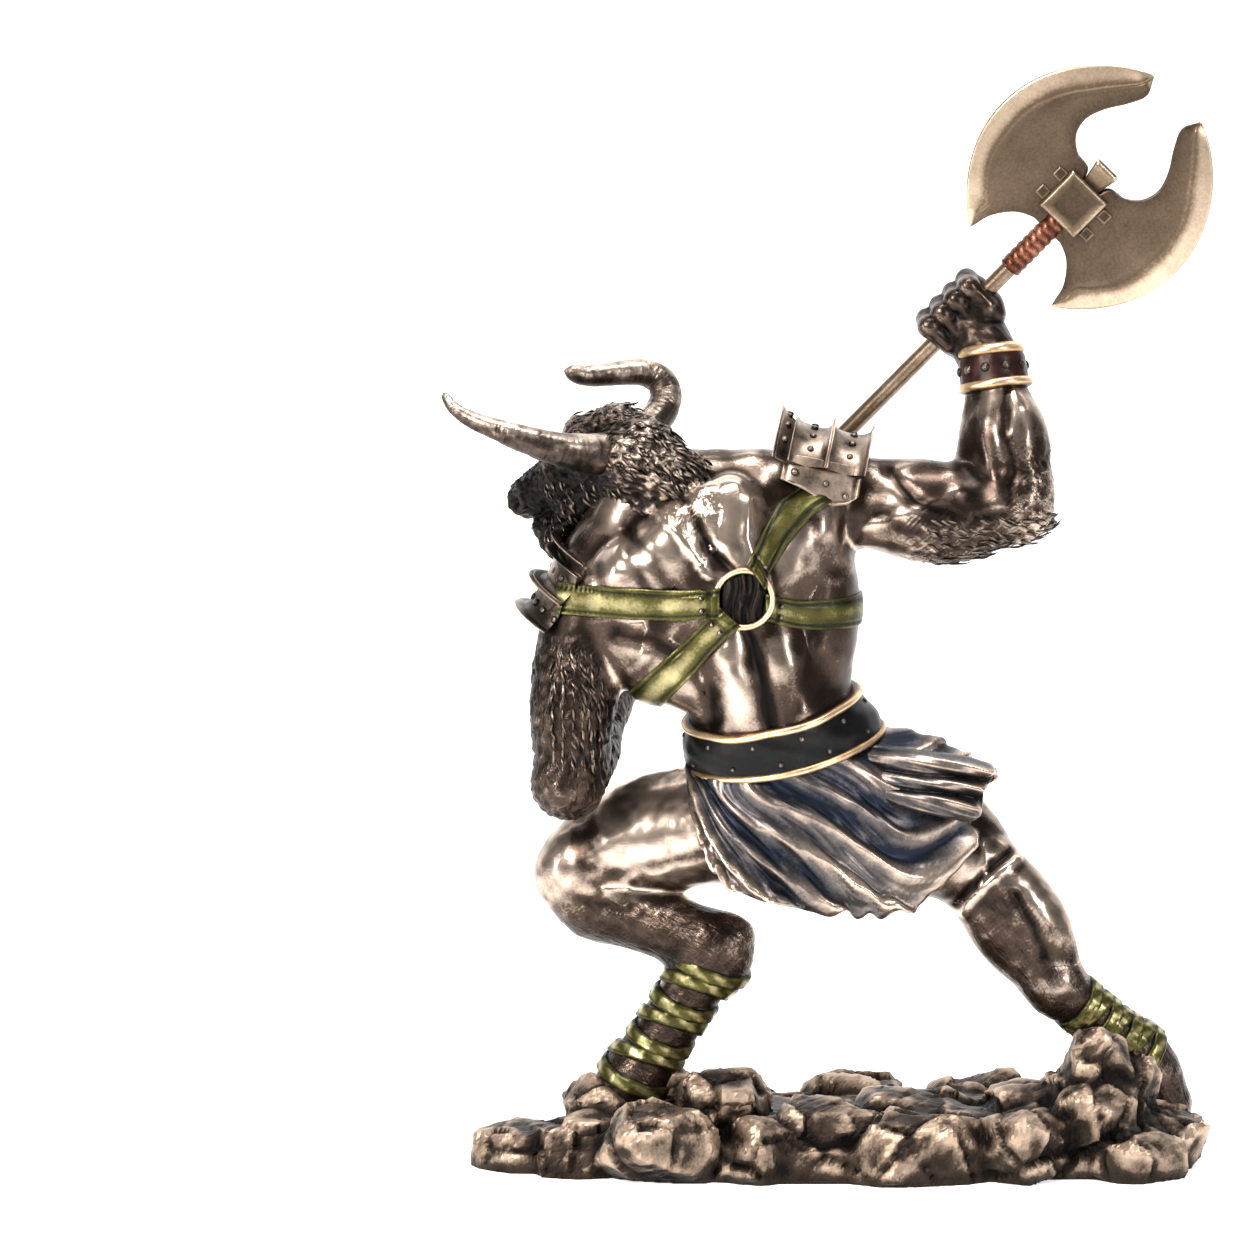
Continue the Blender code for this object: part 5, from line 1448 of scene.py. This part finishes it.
# %% Straps
STRAP_STEPS = 210
STRAP_MIDDLE = vec(-26, 0, 158)
STITCH_LINE = 0.7          # how far out the stitches run, as a share of half the strap
ACROSS = np.linspace(-1, 1, 15)
FROM_MIDDLE = np.abs(ACROSS)
STRAP_FACE = 1.15 - 0.35 * FROM_MIDDLE ** 6 - 0.38 * ridge(FROM_MIDDLE - STITCH_LINE, 0.07)
STRAP_WORN = 0.62 - 0.2 * reach(FROM_MIDDLE, 0.1, 0.62) - 0.3 * ridge(FROM_MIDDLE - STITCH_LINE, 0.07)
STRAP_WORN += 0.12 * reach(FROM_MIDDLE, 0.9, 1.0)


def run_length(points):
    step = np.linalg.norm(np.diff(points, axis=0), axis=1)
    return np.concatenate([[0], np.cumsum(step)])


def strap(name, normal, widths, first, last, shift, forms=torso):
    """A strap from the ring round the body and back. It widens away from the ring and laps over it."""
    normal = unit(vec(*normal))
    middle = STRAP_MIDDLE + normal * ((RING - STRAP_MIDDLE) @ normal)
    heading = np.radians(np.linspace(first, last, STRAP_STEPS))
    width = widths[0] + (widths[1] - widths[0]) * reach(1 - np.sin(heading), 0.1, 0.6)
    points, out, heading = laid_band(forms, middle, normal, ACROSS[None] * width[:, None] / 2, STRAP_STEPS,
                                     math.radians(first), math.radians(last), shift=shift)
    from_ring = np.linalg.norm(points[:, 7] - RING, axis=1)[:, None]
    to_ring_top = ((RING + ring_out * 2.5 - points) @ ring_out)
    lap = np.clip(to_ring_top - 1.1, 0, 4) * reach(RING_RADIUS + 3.2 - from_ring, 0, 2.6)
    stitches = 0.16 * np.sign(np.sin(run_length(points[:, 7])[:, None] * 4.2))
    stitches = stitches * ridge(FROM_MIDDLE - STITCH_LINE, 0.05)
    loops = thick_band(points, out, STRAP_FACE + lap + stitches)
    uneven = 0.1 * band_noise(points, 5, 31)
    # Painted light on the parts of the straps to the left, painted shade on those to the right.
    painted_strap_light = 0.08 * reach(-30 - points[..., 0], 0, 8) - 0.08 * reach(points[..., 0] + 20, 0, 8)
    hand_over_loft(name, loops, strap_green, FIGURE,
                   worn=face_and_back(np.clip(STRAP_WORN + uneven + painted_strap_light, 0, 1)))
    return points, out


ring_out = unit(vec(-0.05, -1.0, 0.12))
RING_GAP = 14.5          # degrees that a strap leaves free on each side of the ring


def bend_at_ring(slope_left, slope_right, fade=0.0):
    """Turns the strap's two halves by a slope each, fading out at the front."""
    def shift(heading):
        sideways = -np.cos(heading)
        slope = np.where(sideways > 0, slope_right, slope_left)
        return slope * sideways * np.clip(np.sin(heading) + fade, 0, 1) * 26
    return shift


level, level_out = strap("level_strap", LEVEL, (7.6, 8.4), 90 + RING_GAP, 450 - RING_GAP,
                         bend_at_ring(0.16, -0.27))
slant, slant_out = strap("slant_strap", SLANT, (7.4, 8.6), 90 + RING_GAP, 450 - RING_GAP,
                         bend_at_ring(0.08, 0.42, 0.5))
strap("shoulder_strap", LEVEL, (8.0, 8.4), 372, 424, bend_at_ring(0.16, -0.27), forms=torso + left_arm)

# %% [markdown]
# ## The ring
# A gilded wire ring between the shoulder blades holds the straps together. A torus would do as well, but
# a loft that closes on itself lets the wire keep to the ring's own tilt.

# %% Harness ring
turn = np.linspace(0, 2 * math.pi, 97)[:-1]
ring_side = unit(np.cross(ring_out, vec(0, 0, 1)))
ring_up = np.cross(ring_side, ring_out)
spoke = ring_side * np.cos(turn)[:, None] + ring_up * np.sin(turn)[:, None]
bead = np.linspace(0, 2 * math.pi, 18, endpoint=False)
loops = (RING + ring_out * 1.0 + spoke * RING_RADIUS)[:, None]
loops = loops + RING_WIRE * (spoke[:, None] * np.cos(bead)[None, :, None]
                             + ring_out * np.sin(bead)[None, :, None])
hand_over_loft("harness_ring", loops, gold_trim, FIGURE, ring=True, worn=0.55 + 0.35 * np.sin(bead)[None])

# %% [markdown]
# ## Hair in the ring
# The hair is a shallow dome whose height waves in curls. Single hairs would be lost at this size, and the
# real one is carved in the same simple way.

# %% Hair in the ring
disc_radius = np.linspace(0.02, RING_RADIUS, 34)[::-1, None]
DISC_SIDES = 120
disc_turn = np.linspace(0, 2 * math.pi, DISC_SIDES, endpoint=False)
across_ring, up_ring = disc_radius * np.cos(disc_turn), disc_radius * np.sin(disc_turn)
curl = np.sin(1.5 * across_ring + 1.6 * np.sin(up_ring / 3.1 + 0.5) + 0.5 * np.sin(across_ring))
curl = curl + 0.5 * np.sin(3.3 * across_ring + 2.2 * np.sin(up_ring / 2.3))
disc_height = 0.9 - 0.012 * disc_radius ** 2 + 0.34 * curl * reach(disc_radius, 0.3, 3)
spokes = ring_side * np.cos(disc_turn)[:, None] + ring_up * np.sin(disc_turn)[:, None]
disc = RING + spokes[None] * disc_radius[..., None] + ring_out * disc_height[..., None]
back = RING + spokes[None] * RING_RADIUS - ring_out * 5
hand_over_loft("hair_in_ring", np.concatenate([back, disc]), fur_bronze, FIGURE,
               worn=np.concatenate([np.zeros((1, DISC_SIDES)), np.clip(0.2 + 0.16 * curl, 0, 1)]))

# %% [markdown]
# ## The belt
# A broad black belt with a gilded roll along both edges. It leans with the hips. The band is laid on the
# torso by rays, as the straps are, and each roll is a narrower band with a half-round face.

# %% Belt and its trims
BELT_STEPS = 208
belt_across = np.linspace(-5.7, 5.7, 17)
belt_points, belt_out, heading = laid_band(torso, BELT_MIDDLE, BELT_LEAN, belt_across, BELT_STEPS, ease=6)
rise = 1.5 + 0.12 * np.sin(heading[:, None] * 9 + belt_across) + 0.1 * band_noise(belt_points, 3, 8)
worn = 0.22 + 0.3 * reach(np.abs(belt_across), 4.0, 5.4) + 0.2 * band_noise(belt_points, (6, 6, 2.5), 3)
hand_over_loft("belt", thick_band(belt_points, belt_out, rise), belt_black, FIGURE, ring=True,
               worn=face_and_back(np.clip(worn, 0, 1)))
for name, where in (("belt_trim_top", 5.9), ("belt_trim_bottom", -5.9)):
    gilded_roll(name, torso, BELT_MIDDLE + BELT_LEAN * where, BELT_LEAN, 1.2, 220, 1.2, 1.35)

# %% [markdown]
# ## Leg wraps
# Strips of cloth bind both shanks from the hock down to the fetlock. One long spiral would be possible.
# Separate rings that tilt by turns look the same and can't cut through each other. A small wave frays
# their edges.

# %% Leg wraps
WRAP_HALF_WIDTH = 2.0
wrap_count = 0
for shank, top, bottom, turns_round, lean in (
        (left_leg[4:], LEFT_HOCK + (-1.5, 0, -5), LEFT_FETLOCK + (-1, 0, 1), 7, 0.32),
        (right_leg[6:], RIGHT_HOCK + (7, 0, -5), RIGHT_FETLOCK + (1, 0, 1), 7, -0.15)):
    along = unit(bottom - top)
    for turn_number in range(turns_round):
        tilt = vec(lean, 0.15 * (-1) ** turn_number, 0.12 * (-1) ** turn_number)
        spot = top + (bottom - top) * turn_number / (turns_round - 1)
        across = np.linspace(-1, 1, 9)
        points, out, heading = laid_band(shank, spot, along + tilt, across * WRAP_HALF_WIDTH, 76, far=22)
        fray = 0.12 * np.sin(heading[:, None] * 13 + turn_number) + 0 * across
        rise = 0.75 + 0.45 * (1 - np.abs(across) ** 4) + 0.25 * (across > 0.6) + fray
        wrap_count += 1
        worn = (0.62 - 0.34 * reach(np.abs(across), 0.4, 0.95)
                + 0.12 * np.sin(heading[:, None] * 7 + across * 3))
        hand_over_loft(f"leg_wrap_{wrap_count}", thick_band(points, out, rise, 0.7), strap_green, FIGURE,
                       ring=True, worn=face_and_back(np.clip(worn, 0, 1)))

# %% [markdown]
# ## Shoulder armour
# Each lame is a flared ring that covers part of a turn, with a rolled rim along both edges and rivets
# along its middle. A plate could be cut from a sheet and bent, but turning a profile about the shoulder's
# axis gives the curve and both rims at once.

# %% Lames
LAMES = [[(-16.0, 20.5), (-13.5, 18.0), (-10.5, 16.0)],
         [(-11.5, 19.8), (-10.3, 17.0), (-6.0, 16.0), (-2.2, 16.6), (-0.4, 20.4)],
         [(-1.4, 19.0), (0.4, 16.6), (5.0, 16.0), (8.4, 16.8), (10.2, 19.4)]]
PLATE = [(-12.5, 13.6), (-10.5, 16.4), (-1.0, 17.0), (6.5, 16.4), (9.5, 14.4)]
RIGHT_GUARD = ((-2.5, 3.0, 186.5), (1.0, -0.05, -0.20))
LEFT_GUARD = ((-67.5, 1.0, 153.0), (-0.50, 0.15, -0.85))
LAME_POINTS = 34


def guard_frame(place):
    centre, axis = vec(*place[0]), unit(vec(*place[1]))
    up = unit(vec(0, 0, 1) - axis * axis[2])
    return centre, axis, up, np.cross(axis, up)


def lame(name, profile, thickness, place, first, last, steps=64, low_edge=None, field_wear_and_shade=0.45):
    """A curved plate with rolled rims, turned about the guard's axis. The last argument is how rubbed its
    field is, and a low one paints shade over it.
    """
    centre, axis, up, side = guard_frame(place)
    line = smooth_path([(a, r, 0) for a, r in profile], LAME_POINTS)
    along, radius = line[:, 0], line[:, 1]
    share = np.linspace(0, 1, LAME_POINTS)
    rim = 1.1 * ridge(share - 0.05, 0.05) + 1.1 * ridge(share - 0.95, 0.05)
    rim -= 0.3 * ridge(share - 0.15, 0.03) + 0.3 * ridge(share - 0.85, 0.03)
    end = np.interp(along, *low_edge) if low_edge else last
    angle = np.radians(first + (end - first) * np.linspace(0, 1, steps)[:, None])
    angle = np.broadcast_to(angle, (steps, LAME_POINTS))
    edge_roll = 0.7 * ridge(np.linspace(0, 1, steps)[:, None] - 0.955, 0.03) if low_edge else 0
    dents = 0.10 * np.sin(5 * angle + 0.5 * along) + 0.06 * np.sin(11 * angle - along * 0.4)
    outer = radius + rim + dents + edge_roll
    inner = radius[::-1] - thickness + 0 * dents
    reach_out = np.concatenate([outer, inner], axis=1)[..., None]
    place_along = np.concatenate([along, along[::-1]])[None, :, None]
    angle = np.concatenate([angle, angle[:, ::-1]], axis=1)
    way = up * np.cos(angle)[..., None] + side * np.sin(angle)[..., None]
    loops = centre + axis * place_along + way * reach_out
    worn = np.clip(field_wear_and_shade + (rim + edge_roll) * 0.3 + dents, 0, 1)
    hand_over_loft(name, loops, armour_bronze, FIGURE,
                   worn=np.concatenate([worn, np.zeros_like(worn)], axis=1))

# %% [markdown]
# ## Plates and their rivets
# Three lames lie on each shoulder like roof tiles, and a broad plate closes the right one. Rivets are
# only noted here, as a place and the way out of the metal, and are made together further down.

# %% Plates on both shoulders
rivet_places, rivet_turns, rivet_sizes = [], [], []


def add_rivet(place, out, size=0.9):
    rivet_places.append(place)
    rivet_turns.append(aim(out, (0.3, 0.2, 1) if abs(out[2]) < 0.9 else (1, 0, 0)))
    rivet_sizes.append((size, size, size))


for number, profile in enumerate(LAMES):
    lame(f"right_lame_{number + 1}", profile, 1.6, RIGHT_GUARD, -48, 72)
    small = [(a * 0.85, r * 0.94) for a, r in profile]
    # The left lames get a darker field: painted shade over the left shoulder.
    lame(f"left_lame_{number + 1}", small, 1.6, LEFT_GUARD, -80, 94, field_wear_and_shade=0.2)
lame("right_plate", PLATE, 2.2, RIGHT_GUARD, 62, 100, 48, ([-12.5, -6, 3, 7, 9.5], [88, 93, 104, 100, 90]))
for place, first, last, scale in ((RIGHT_GUARD, -44, 70, 1), (LEFT_GUARD, -76, 90, 0.94)):
    centre, axis, up, side = guard_frame(place)
    for profile in LAMES:
        span = smooth_path([(a, r, 0) for a, r in profile], 21)
        along, radius = span[10, :2] * scale
        for angle in np.radians(np.arange(first, last, 19)):
            way = up * math.cos(angle) + side * math.sin(angle)
            add_rivet(centre + axis * along + way * (radius + 0.1), way, 1.05)
centre, axis, up, side = guard_frame(RIGHT_GUARD)
for along, degrees in ((-9, 79), (6, 92), (0, 84)):
    way = up * math.cos(math.radians(degrees)) + side * math.sin(math.radians(degrees))
    add_rivet(centre + axis * along + way * 17.6, way, 1.0)
print("rivets noted:", len(rivet_places))

# %% [markdown]
# ## The bracer
# Red leather round the wrist of the raised arm, between two gilded rolls, with a row of rivets. It is
# laid like the belt. A little noise in its height makes the leather's grain, and the rubbed colour
# follows that grain.

# %% Bracer
CUFF, CUFF_LEAN = vec(43.2, 6.0, 219.0), unit(vec(-0.12, 0.1, 1.0))
across = np.linspace(-4.4, 4.4, 13)
points, out, heading = laid_band(right_arm, CUFF, CUFF_LEAN, across, 150, far=24, ease=6)
rise = 1.15 + 0.12 * band_noise(points, 1.6, 77)
worn = np.clip(0.36 + 1.6 * (rise - 1.15) + 0.15 * (np.abs(across) > 3.4), 0, 1)
hand_over_loft("bracer", thick_band(points, out, rise), bracer_red, FIGURE, ring=True,
               worn=face_and_back(worn))
for number in range(0, 144, 16):
    add_rivet(points[number, 6] + out[number, 6] * 1.1, out[number, 6], 1.35)
for name, where in (("bracer_trim_top", 4.7), ("bracer_trim_bottom", -4.7)):
    gilded_roll(name, right_arm, CUFF + CUFF_LEAN * where, CUFF_LEAN, 1.35, 150, 0.9, 1.1, far=24)

# %% [markdown]
# ## All the rivets
# The belt's rivets stand in two rows that take turns, and each strap has a pair beside the ring. They
# could be modelled one by one, but the armour's, the bracer's and these are the same dome, so one tree
# sets them all.

# %% Rivets of the belt and the straps
for number in range(0, BELT_STEPS, 10):
    column = 4 if (number // 10) % 2 else 12
    add_rivet(belt_points[number, column] + belt_out[number, column] * 1.5, belt_out[number, column], 0.8)
for points, out in ((level, level_out), (slant, slant_out)):
    for end in (range(0, 30), range(STRAP_STEPS - 1, STRAP_STEPS - 31, -1)):
        from_ring = np.linalg.norm(points[list(end), 7] - RING, axis=1)
        row = list(end)[int(np.argmin(np.abs(from_ring - RING_RADIUS - 3.6)))]
        for column in (4, 10):
            add_rivet(points[row, column] + out[row, column] * 1.5, out[row, column], 0.75)
repeat("rivets", RIVET, rivet_places, rivet_turns, rivet_sizes, rivet_metal, FIGURE, 0.08, 2)

# %% [markdown]
# ## Hands
# Fists are short limbs too: a heel, four curled fingers with their knuckles, and a thumb across them.

# %% Fists
RIGHT_WRIST, LEFT_WRIST, LEFT_FIST = vec(43.8, 7, 220), vec(-60.5, 36, 127), vec(-57, 44, 133)
toward = FLAT_AXIS if FLAT_AXIS[1] < 0 else -FLAT_AXIS
heel = BLADE_AXIS
grip = [limb(RIGHT_WRIST, 8.4, RIGHT_FIST + heel * 4 - toward, 8.6),
        limb(RIGHT_FIST + SHAFT_AXIS * 5 + heel * 2.5, 7.0, RIGHT_FIST - SHAFT_AXIS * 4 + heel * 3, 6.5)]
for finger in range(4):
    along = SHAFT_AXIS * (8.2 - 5.2 * finger)
    knuckle = RIGHT_FIST + along - heel * 6.0 - toward * 2.0
    bend = RIGHT_FIST + along - heel * 4.6 + toward * 4.6
    tip = RIGHT_FIST + along + heel * 2.8 + toward * 4.4
    grip += chain([(*(knuckle + heel * 4 - toward * 4), 3.1), (*knuckle, 3.0), (*bend, 2.75), (*tip, 2.4)])
    grip.append(limb(bend, 3.0, bend + heel * 0.4, 3.0))
thumb = RIGHT_FIST + SHAFT_AXIS * 7
grip += chain([(*(RIGHT_FIST + heel * 6), 4.6), (*(thumb + heel * 5.5 + toward * 1.5), 3.5),
               (*(thumb - heel + toward * 3.5), 2.8)])
clench = [limb(LEFT_WRIST, 6.4, LEFT_FIST, 7.4)]
for finger in range(4):
    base = LEFT_FIST + (4.5 - 3.6 * finger, 4.6, 3.4 - 0.5 * finger)
    clench += chain([(*base, 2.7), (*(base + (0.6, 4.4, -3.6)), 2.6), (*(base + (1.0, 1.2, -7.6)), 2.4)])
clench += chain([(*(LEFT_FIST + (6.5, 0, -1)), 3.3), (*(LEFT_FIST + (6.5, 7, -3)), 2.8),
                 (*(LEFT_FIST + (1.5, 9.5, -4.5)), 2.5)])
FINGER_BLEND = 1.0
for name, forms in (("right_fist", grip), ("left_fist", clench)):
    fist = sculpt(forms, VOXEL["fists"], FINGER_BLEND)
    q = fist.points
    fist.raise_by(0.07 * noise(q / 2.2, 44)
                  + 0.10 * noise(q @ along_frame(BLADE_AXIS).T / (0.8, 0.8, 4.0), 45))
    # Painted shade darkens both fists.
    hand_over(name, fist.points, fist.quads, skin_bronze, FIGURE, worn=fist.raisedness(3, 14) * 0.55)

# %% [markdown]
# ## Axe
# Two crescent blades with a ground bevel, let into a square socket with studs, on a plain round shaft.
# Cord is wound on the shaft below the socket. The metal is paler and more even than the figure.


# %% Axe in its own directions
def axe_point(along, across, out=0.0):
    """A point along the shaft, across it in the plane of the blades, and out of that plane."""
    along, across, out = (np.asarray(v, dtype=float)[..., None]
                          for v in np.broadcast_arrays(along, across, out))
    return SOCKET + SHAFT_AXIS * along + BLADE_AXIS * across + FLAT_AXIS * out


print("socket in mm:", SOCKET.round(1))

# %% [markdown]
# ## The blades
# Two crescents with a ground bevel along the outer edge. Each is a row of loops from tip to tip between an
# inner and an outer curve, and one function makes both, turned over across the shaft.

# %% Blades
INNER_EDGE = [(39.6, 8.6), (35.0, 6.6), (29.8, 8.8), (24.3, 12.2), (18.8, 14.0), (13.8, 12.7), (10.5, 8.8),
              (9.4, 3.8), (3.0, 2.0), (-6.0, 2.0), (-10.0, 2.4), (-10.5, 5.5), (-13.0, 10.0), (-18.2, 13.9),
              (-23.6, 15.3)]
BLADE_RADIUS, BLADE_CENTRE, TIP_REACH, BLADE_BEVEL = 33.4, 6.0, 2.4, 6.5
BLADE_THICKNESS, EDGE_THICKNESS = 2.6, 0.5


def blade_loops(side, rows=110):
    inner = smooth_path(INNER_EDGE, rows)
    first, last = math.asin(8.8 / 35.6), math.pi - math.asin(15.6 / 34.5)
    swing = np.linspace(first, last, rows)
    span = BLADE_RADIUS + TIP_REACH * np.cos(swing) ** 6
    outer = np.stack([BLADE_CENTRE + span * np.cos(swing), span * np.sin(swing)], axis=1)
    gap = np.linalg.norm(outer - inner, axis=1)[:, None]
    full = np.clip(gap / BLADE_BEVEL, 0.1, 1) * BLADE_THICKNESS / 2
    bevel = np.minimum(BLADE_BEVEL, gap * 0.5) / np.maximum(gap, 0.3)
    share = np.concatenate([np.linspace(0, 1, 9) * bevel, bevel + (1 - bevel) * np.linspace(0.02, 1, 16)],
                           axis=1)
    flat = outer[:, None] + (inner - outer)[:, None] * share[..., None]
    rise = np.clip(share / bevel, 0, 1)
    height = EDGE_THICKNESS / 2 + (full - EDGE_THICKNESS / 2) * rise
    dish = 0.22 * ridge(share - bevel * 1.12, 0.03)
    height = np.maximum(height - dish, 0.15)
    worn = 0.8 - 0.34 * reach(share / bevel, 0.5, 1.0) + 0.1 * ridge(share / bevel - 1, 0.07)
    worn = worn - 0.12 * reach(share, 0.6, 1)
    both = np.concatenate([height, -height[:, ::-1]], axis=1)
    flat = np.concatenate([flat, flat[:, ::-1]], axis=1)
    return axe_point(flat[..., 0], side * flat[..., 1], both), np.concatenate([worn, worn[:, ::-1]], axis=1)


for side, name in ((1, "axe_blade_low"), (-1, "axe_blade_high")):
    loops, worn = blade_loops(side)
    hand_over_loft(name, loops, axe_bronze, AXE, worn=np.clip(worn, 0, 1))

# %% [markdown]
# ## Shaft, pommel and cord
# Everything round on the axe is a profile turned about the shaft's line. The cord is the same, with a
# relief of slanting turns on it: a real cord would be a helix, but on a casting it is only carved.


# %% Round pieces of the axe
def turned(name, stations, sides, material, relief=None, worn=0.5, rows=120):
    """A round piece on the shaft's line through (along, radius) stations, with straight runs between them."""
    stations = np.array(stations, dtype=float)
    along = np.linspace(stations[0, 0], stations[-1, 0], rows)
    radius = np.interp(along, stations[:, 0], stations[:, 1])[:, None]
    angle = np.linspace(0, 2 * math.pi, sides, endpoint=False)[None]
    add = relief(along[:, None], angle) if relief else 0 * angle
    radius = radius + add
    hand_over_loft(name, axe_point(along[:, None], radius * np.cos(angle), radius * np.sin(angle)),
                   material, AXE, worn=np.clip(worn + add * 0.6 + 0 * radius, 0, 1))


SHAFT_RADIUS = 2.35
turned("axe_shaft", [(-109, SHAFT_RADIUS), (-2, SHAFT_RADIUS)], 40, axe_bronze, worn=0.6, rows=60)
turned("axe_pommel", [(-112, 1.5), (-111, 3.2), (-109.5, 3.6), (-108, 3.5), (-106.5, 2.7), (-106, 2.5)], 36,
       axe_bronze, worn=0.6, rows=40)
turned("axe_cord", [(-25.5, 2.5), (-25.2, 3.0), (-5.4, 3.0), (-5.0, 2.5)], 40, cord_copper,
       lambda a, angle: 0.34 * np.abs(np.sin(a * 1.35 + angle / 2 + 0.15 * np.sin(angle * 3))) - 0.1
       + 0.06 * np.sin(angle * 16 + a * 9), worn=0.5, rows=230)

# %% [markdown]
# ## Socket, studs and wedge
# The square socket and its four studs are blocks with eased edges and a face that is a little hollow, as
# a pressed casting has. Squares set one above the other make them, so the edges need no bevel afterwards.


# %% Square pieces of the axe
def chamfered(name, along, across, half_along, half_across, half_out, chamfer):
    """A block in the axe's plane, with eased edges and a face that is a little hollow."""
    sides = 12
    square = []
    for i, j in ((1, 1), (-1, 1), (-1, -1), (1, -1)):
        next_i, next_j = -j, i
        for step in range(sides):
            square.append((i + (next_i - i) * step / sides, j + (next_j - j) * step / sides))
    square = np.array(square)
    levels = [(-half_out, 0.55), (-half_out, 0.86), (-half_out + 0.15, 0.93), (-half_out + chamfer, 1.0),
              (0, 1.0),
              (half_out - chamfer, 1.0), (half_out - 0.15, 0.93), (half_out, 0.86), (half_out - 0.25, 0.72),
              (half_out - 0.25, 0.4)]
    loops = []
    for out, share in levels:
        loops.append(axe_point(along + square[:, 0] * half_along * share,
                               across + square[:, 1] * half_across * share, out))
    worn = np.array([0.3, 0.6, 0.7, 0.6, 0.4, 0.6, 0.8, 0.75, 0.4, 0.5])[:, None]
    hand_over_loft(name, np.array(loops), axe_bronze, AXE, worn=worn)


half = 6.7
chamfered("axe_socket", 0, 0, half, half, 3.5, 0.8)
stud = 0
for along in (-3.4, 3.4):
    for across in (-half - 1.7, half + 1.7):
        stud += 1
        chamfered(f"axe_stud_{stud}", along, across, 1.6, 1.6, 2.3, 0.5)
wedge = []
corner = [vec(-1, -1), vec(1, -1), vec(1, 1), vec(-1, 1)]
square = np.array([a * (1 - s / 6) + b * s / 6 for a, b in zip(corner, corner[1:] + corner[:1])
                   for s in range(6)])
for along, wide, thick in ((half - 2.0, 2.2, 1.9), (half + 5.6, 3.7, 2.5), (half + 6.5, 3.9, 2.6),
                           (half + 6.6, 3.5, 2.2), (half + 6.1, 2.9, 1.6)):
    wedge.append(axe_point(along, square[:, 0] * wide, square[:, 1] * thick))
hand_over_loft("axe_wedge", np.array(wedge), axe_bronze, AXE,
               worn=np.array([0.3, 0.6, 0.85, 0.8, 0.3])[:, None])
print("pieces:", len(made), "triangles:",
      sum(sum(len(f.vertices) - 2 for f in o.data.polygons) for o in made))
